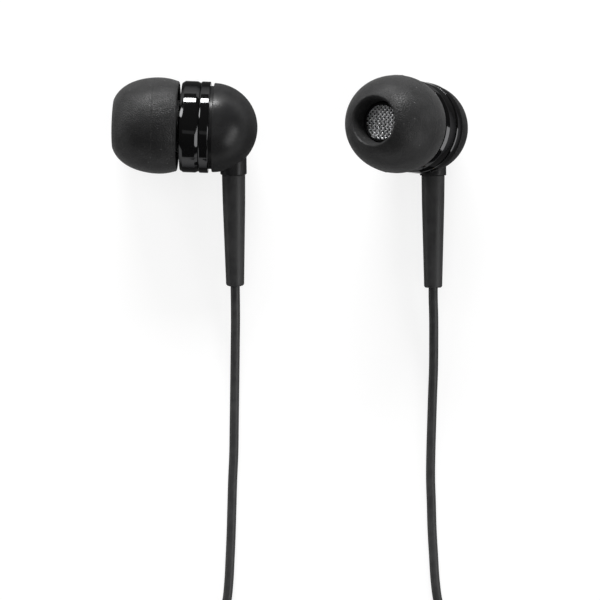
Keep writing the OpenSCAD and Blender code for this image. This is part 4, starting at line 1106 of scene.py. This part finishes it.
# The pin in front of the collar: sleeve, ring and tip, with an insulator between each two
PIN_R, COLLAR_R = 1.75, 2.6
SLEEVE_TOP, RING_LOW, RING_TOP, TIP_LOW = 7.4, 8, 10.2, 10.8
barrel = [
    (1.43, -4), (PIN_R, -4), (PIN_R, 0), (COLLAR_R, 0, 0.08), (COLLAR_R, 0.8, 0.12),
    (PIN_R, 0.8), (PIN_R, SLEEVE_TOP, 0.03), (1.43, SLEEVE_TOP, 0.03),
]
band = [(0.71, -5), (0.95, -5), (0.95, RING_LOW), (PIN_R, RING_LOW, 0.03),
        (PIN_R, RING_TOP, 0.03), (0.71, RING_TOP)]
point = [
    (0, -6), (0.45, -6), (0.45, TIP_LOW), (1.575, TIP_LOW, 0.04), (1.575, 11.05, 0.1),
    (1.19, 11.55, 0.15), (1.19, 11.8, 0.15), (1.715, 12.4, 0.12), (1.715, 12.7, 0.3),
]
point += [(0.1 + x, 13.7 + y) for x, y in arc(0.6, range(25, 91, 13))] + [(0, 14.3)]
outer_sleeve = [(1.19, -4.5), (1.41, -4.5), (1.41, SLEEVE_TOP), (PIN_R, SLEEVE_TOP),
                (PIN_R, RING_LOW), (1.19, RING_LOW)]
inner_sleeve = [(0.47, -5.5), (0.69, -5.5), (0.69, RING_TOP), (PIN_R, RING_TOP),
                (PIN_R, TIP_LOW), (0.47, TIP_LOW)]
for name, profile, material, slot, node in (
    ("plug_grip_ribbed", grip, soft, "soft_black", "plug_grip"),
    ("plug_ringed_relief", guard, soft, "soft_black", "plug_relief"),
    ("plug_sleeve_contact", barrel, gold, "contact", "plug_sleeve"),
    ("plug_ring_contact", band, gold, "contact", "plug_ring"),
    ("plug_tip_contact", point, gold, "contact", "plug_tip"),
    ("plug_outer_insulator", outer_sleeve, insulator, "insulator", "plug_insulators"),
    ("plug_inner_insulator", inner_sleeve, insulator, "insulator", "plug_insulators"),
):
    part = turned(name, profile, PLUG)
    dress(part, material, slot, "earphones", node)

# Inside the grip the jacket ends, and three fine wires run on to the contacts' tails
line = [PLUG @ Vector((0, 0, 0.05 - PLUG_L + 1.1 * k)) for k in range(18)]
held = jacket_tube("cord_in_plug", line, 1.78, 24)
dress(held, jacket, "cord_jacket", "earphones", "plug_cord")
for name, points in (
    ("plug_core_to_tip", [(0, 0, -8.4), (0.04, 0.1, -7), (0, 0, -6)]),
    ("plug_core_to_ring", [(0.6, 0, -8.4), (0.78, 0.12, -6.6), (0.85, 0, -5)]),
    ("plug_core_to_sleeve", [(-0.6, 0, -8.4), (-1.05, 0.12, -6.4), (-1.45, 0, -5), (-1.5, 0, -4)]),
):
    line = [PLUG @ p for p in eased(points, (0, 0, 1), (0, 0, 1), step=0.2)]
    core = jacket_tube(name, line, 0.16, 8)
    dress(core, enamel, "copper_wire", "earphones", "plug_cord")

# ---- The pieces on the cords, and the cords' lengths ----
# Each thin cord is 34 cm long from its relief to the split, and the main cord 85 cm
# from the split to the plug, so that the pair reaches the usual 1.2 m. Below, each thin cord's
# strap, the split and the left cord's slider are gathered, and the bounds of all that is shown are
# taken.

for side in SIDES:
    held = [ties[side], split] + ([slider] if side == "left" else [])

low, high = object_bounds()
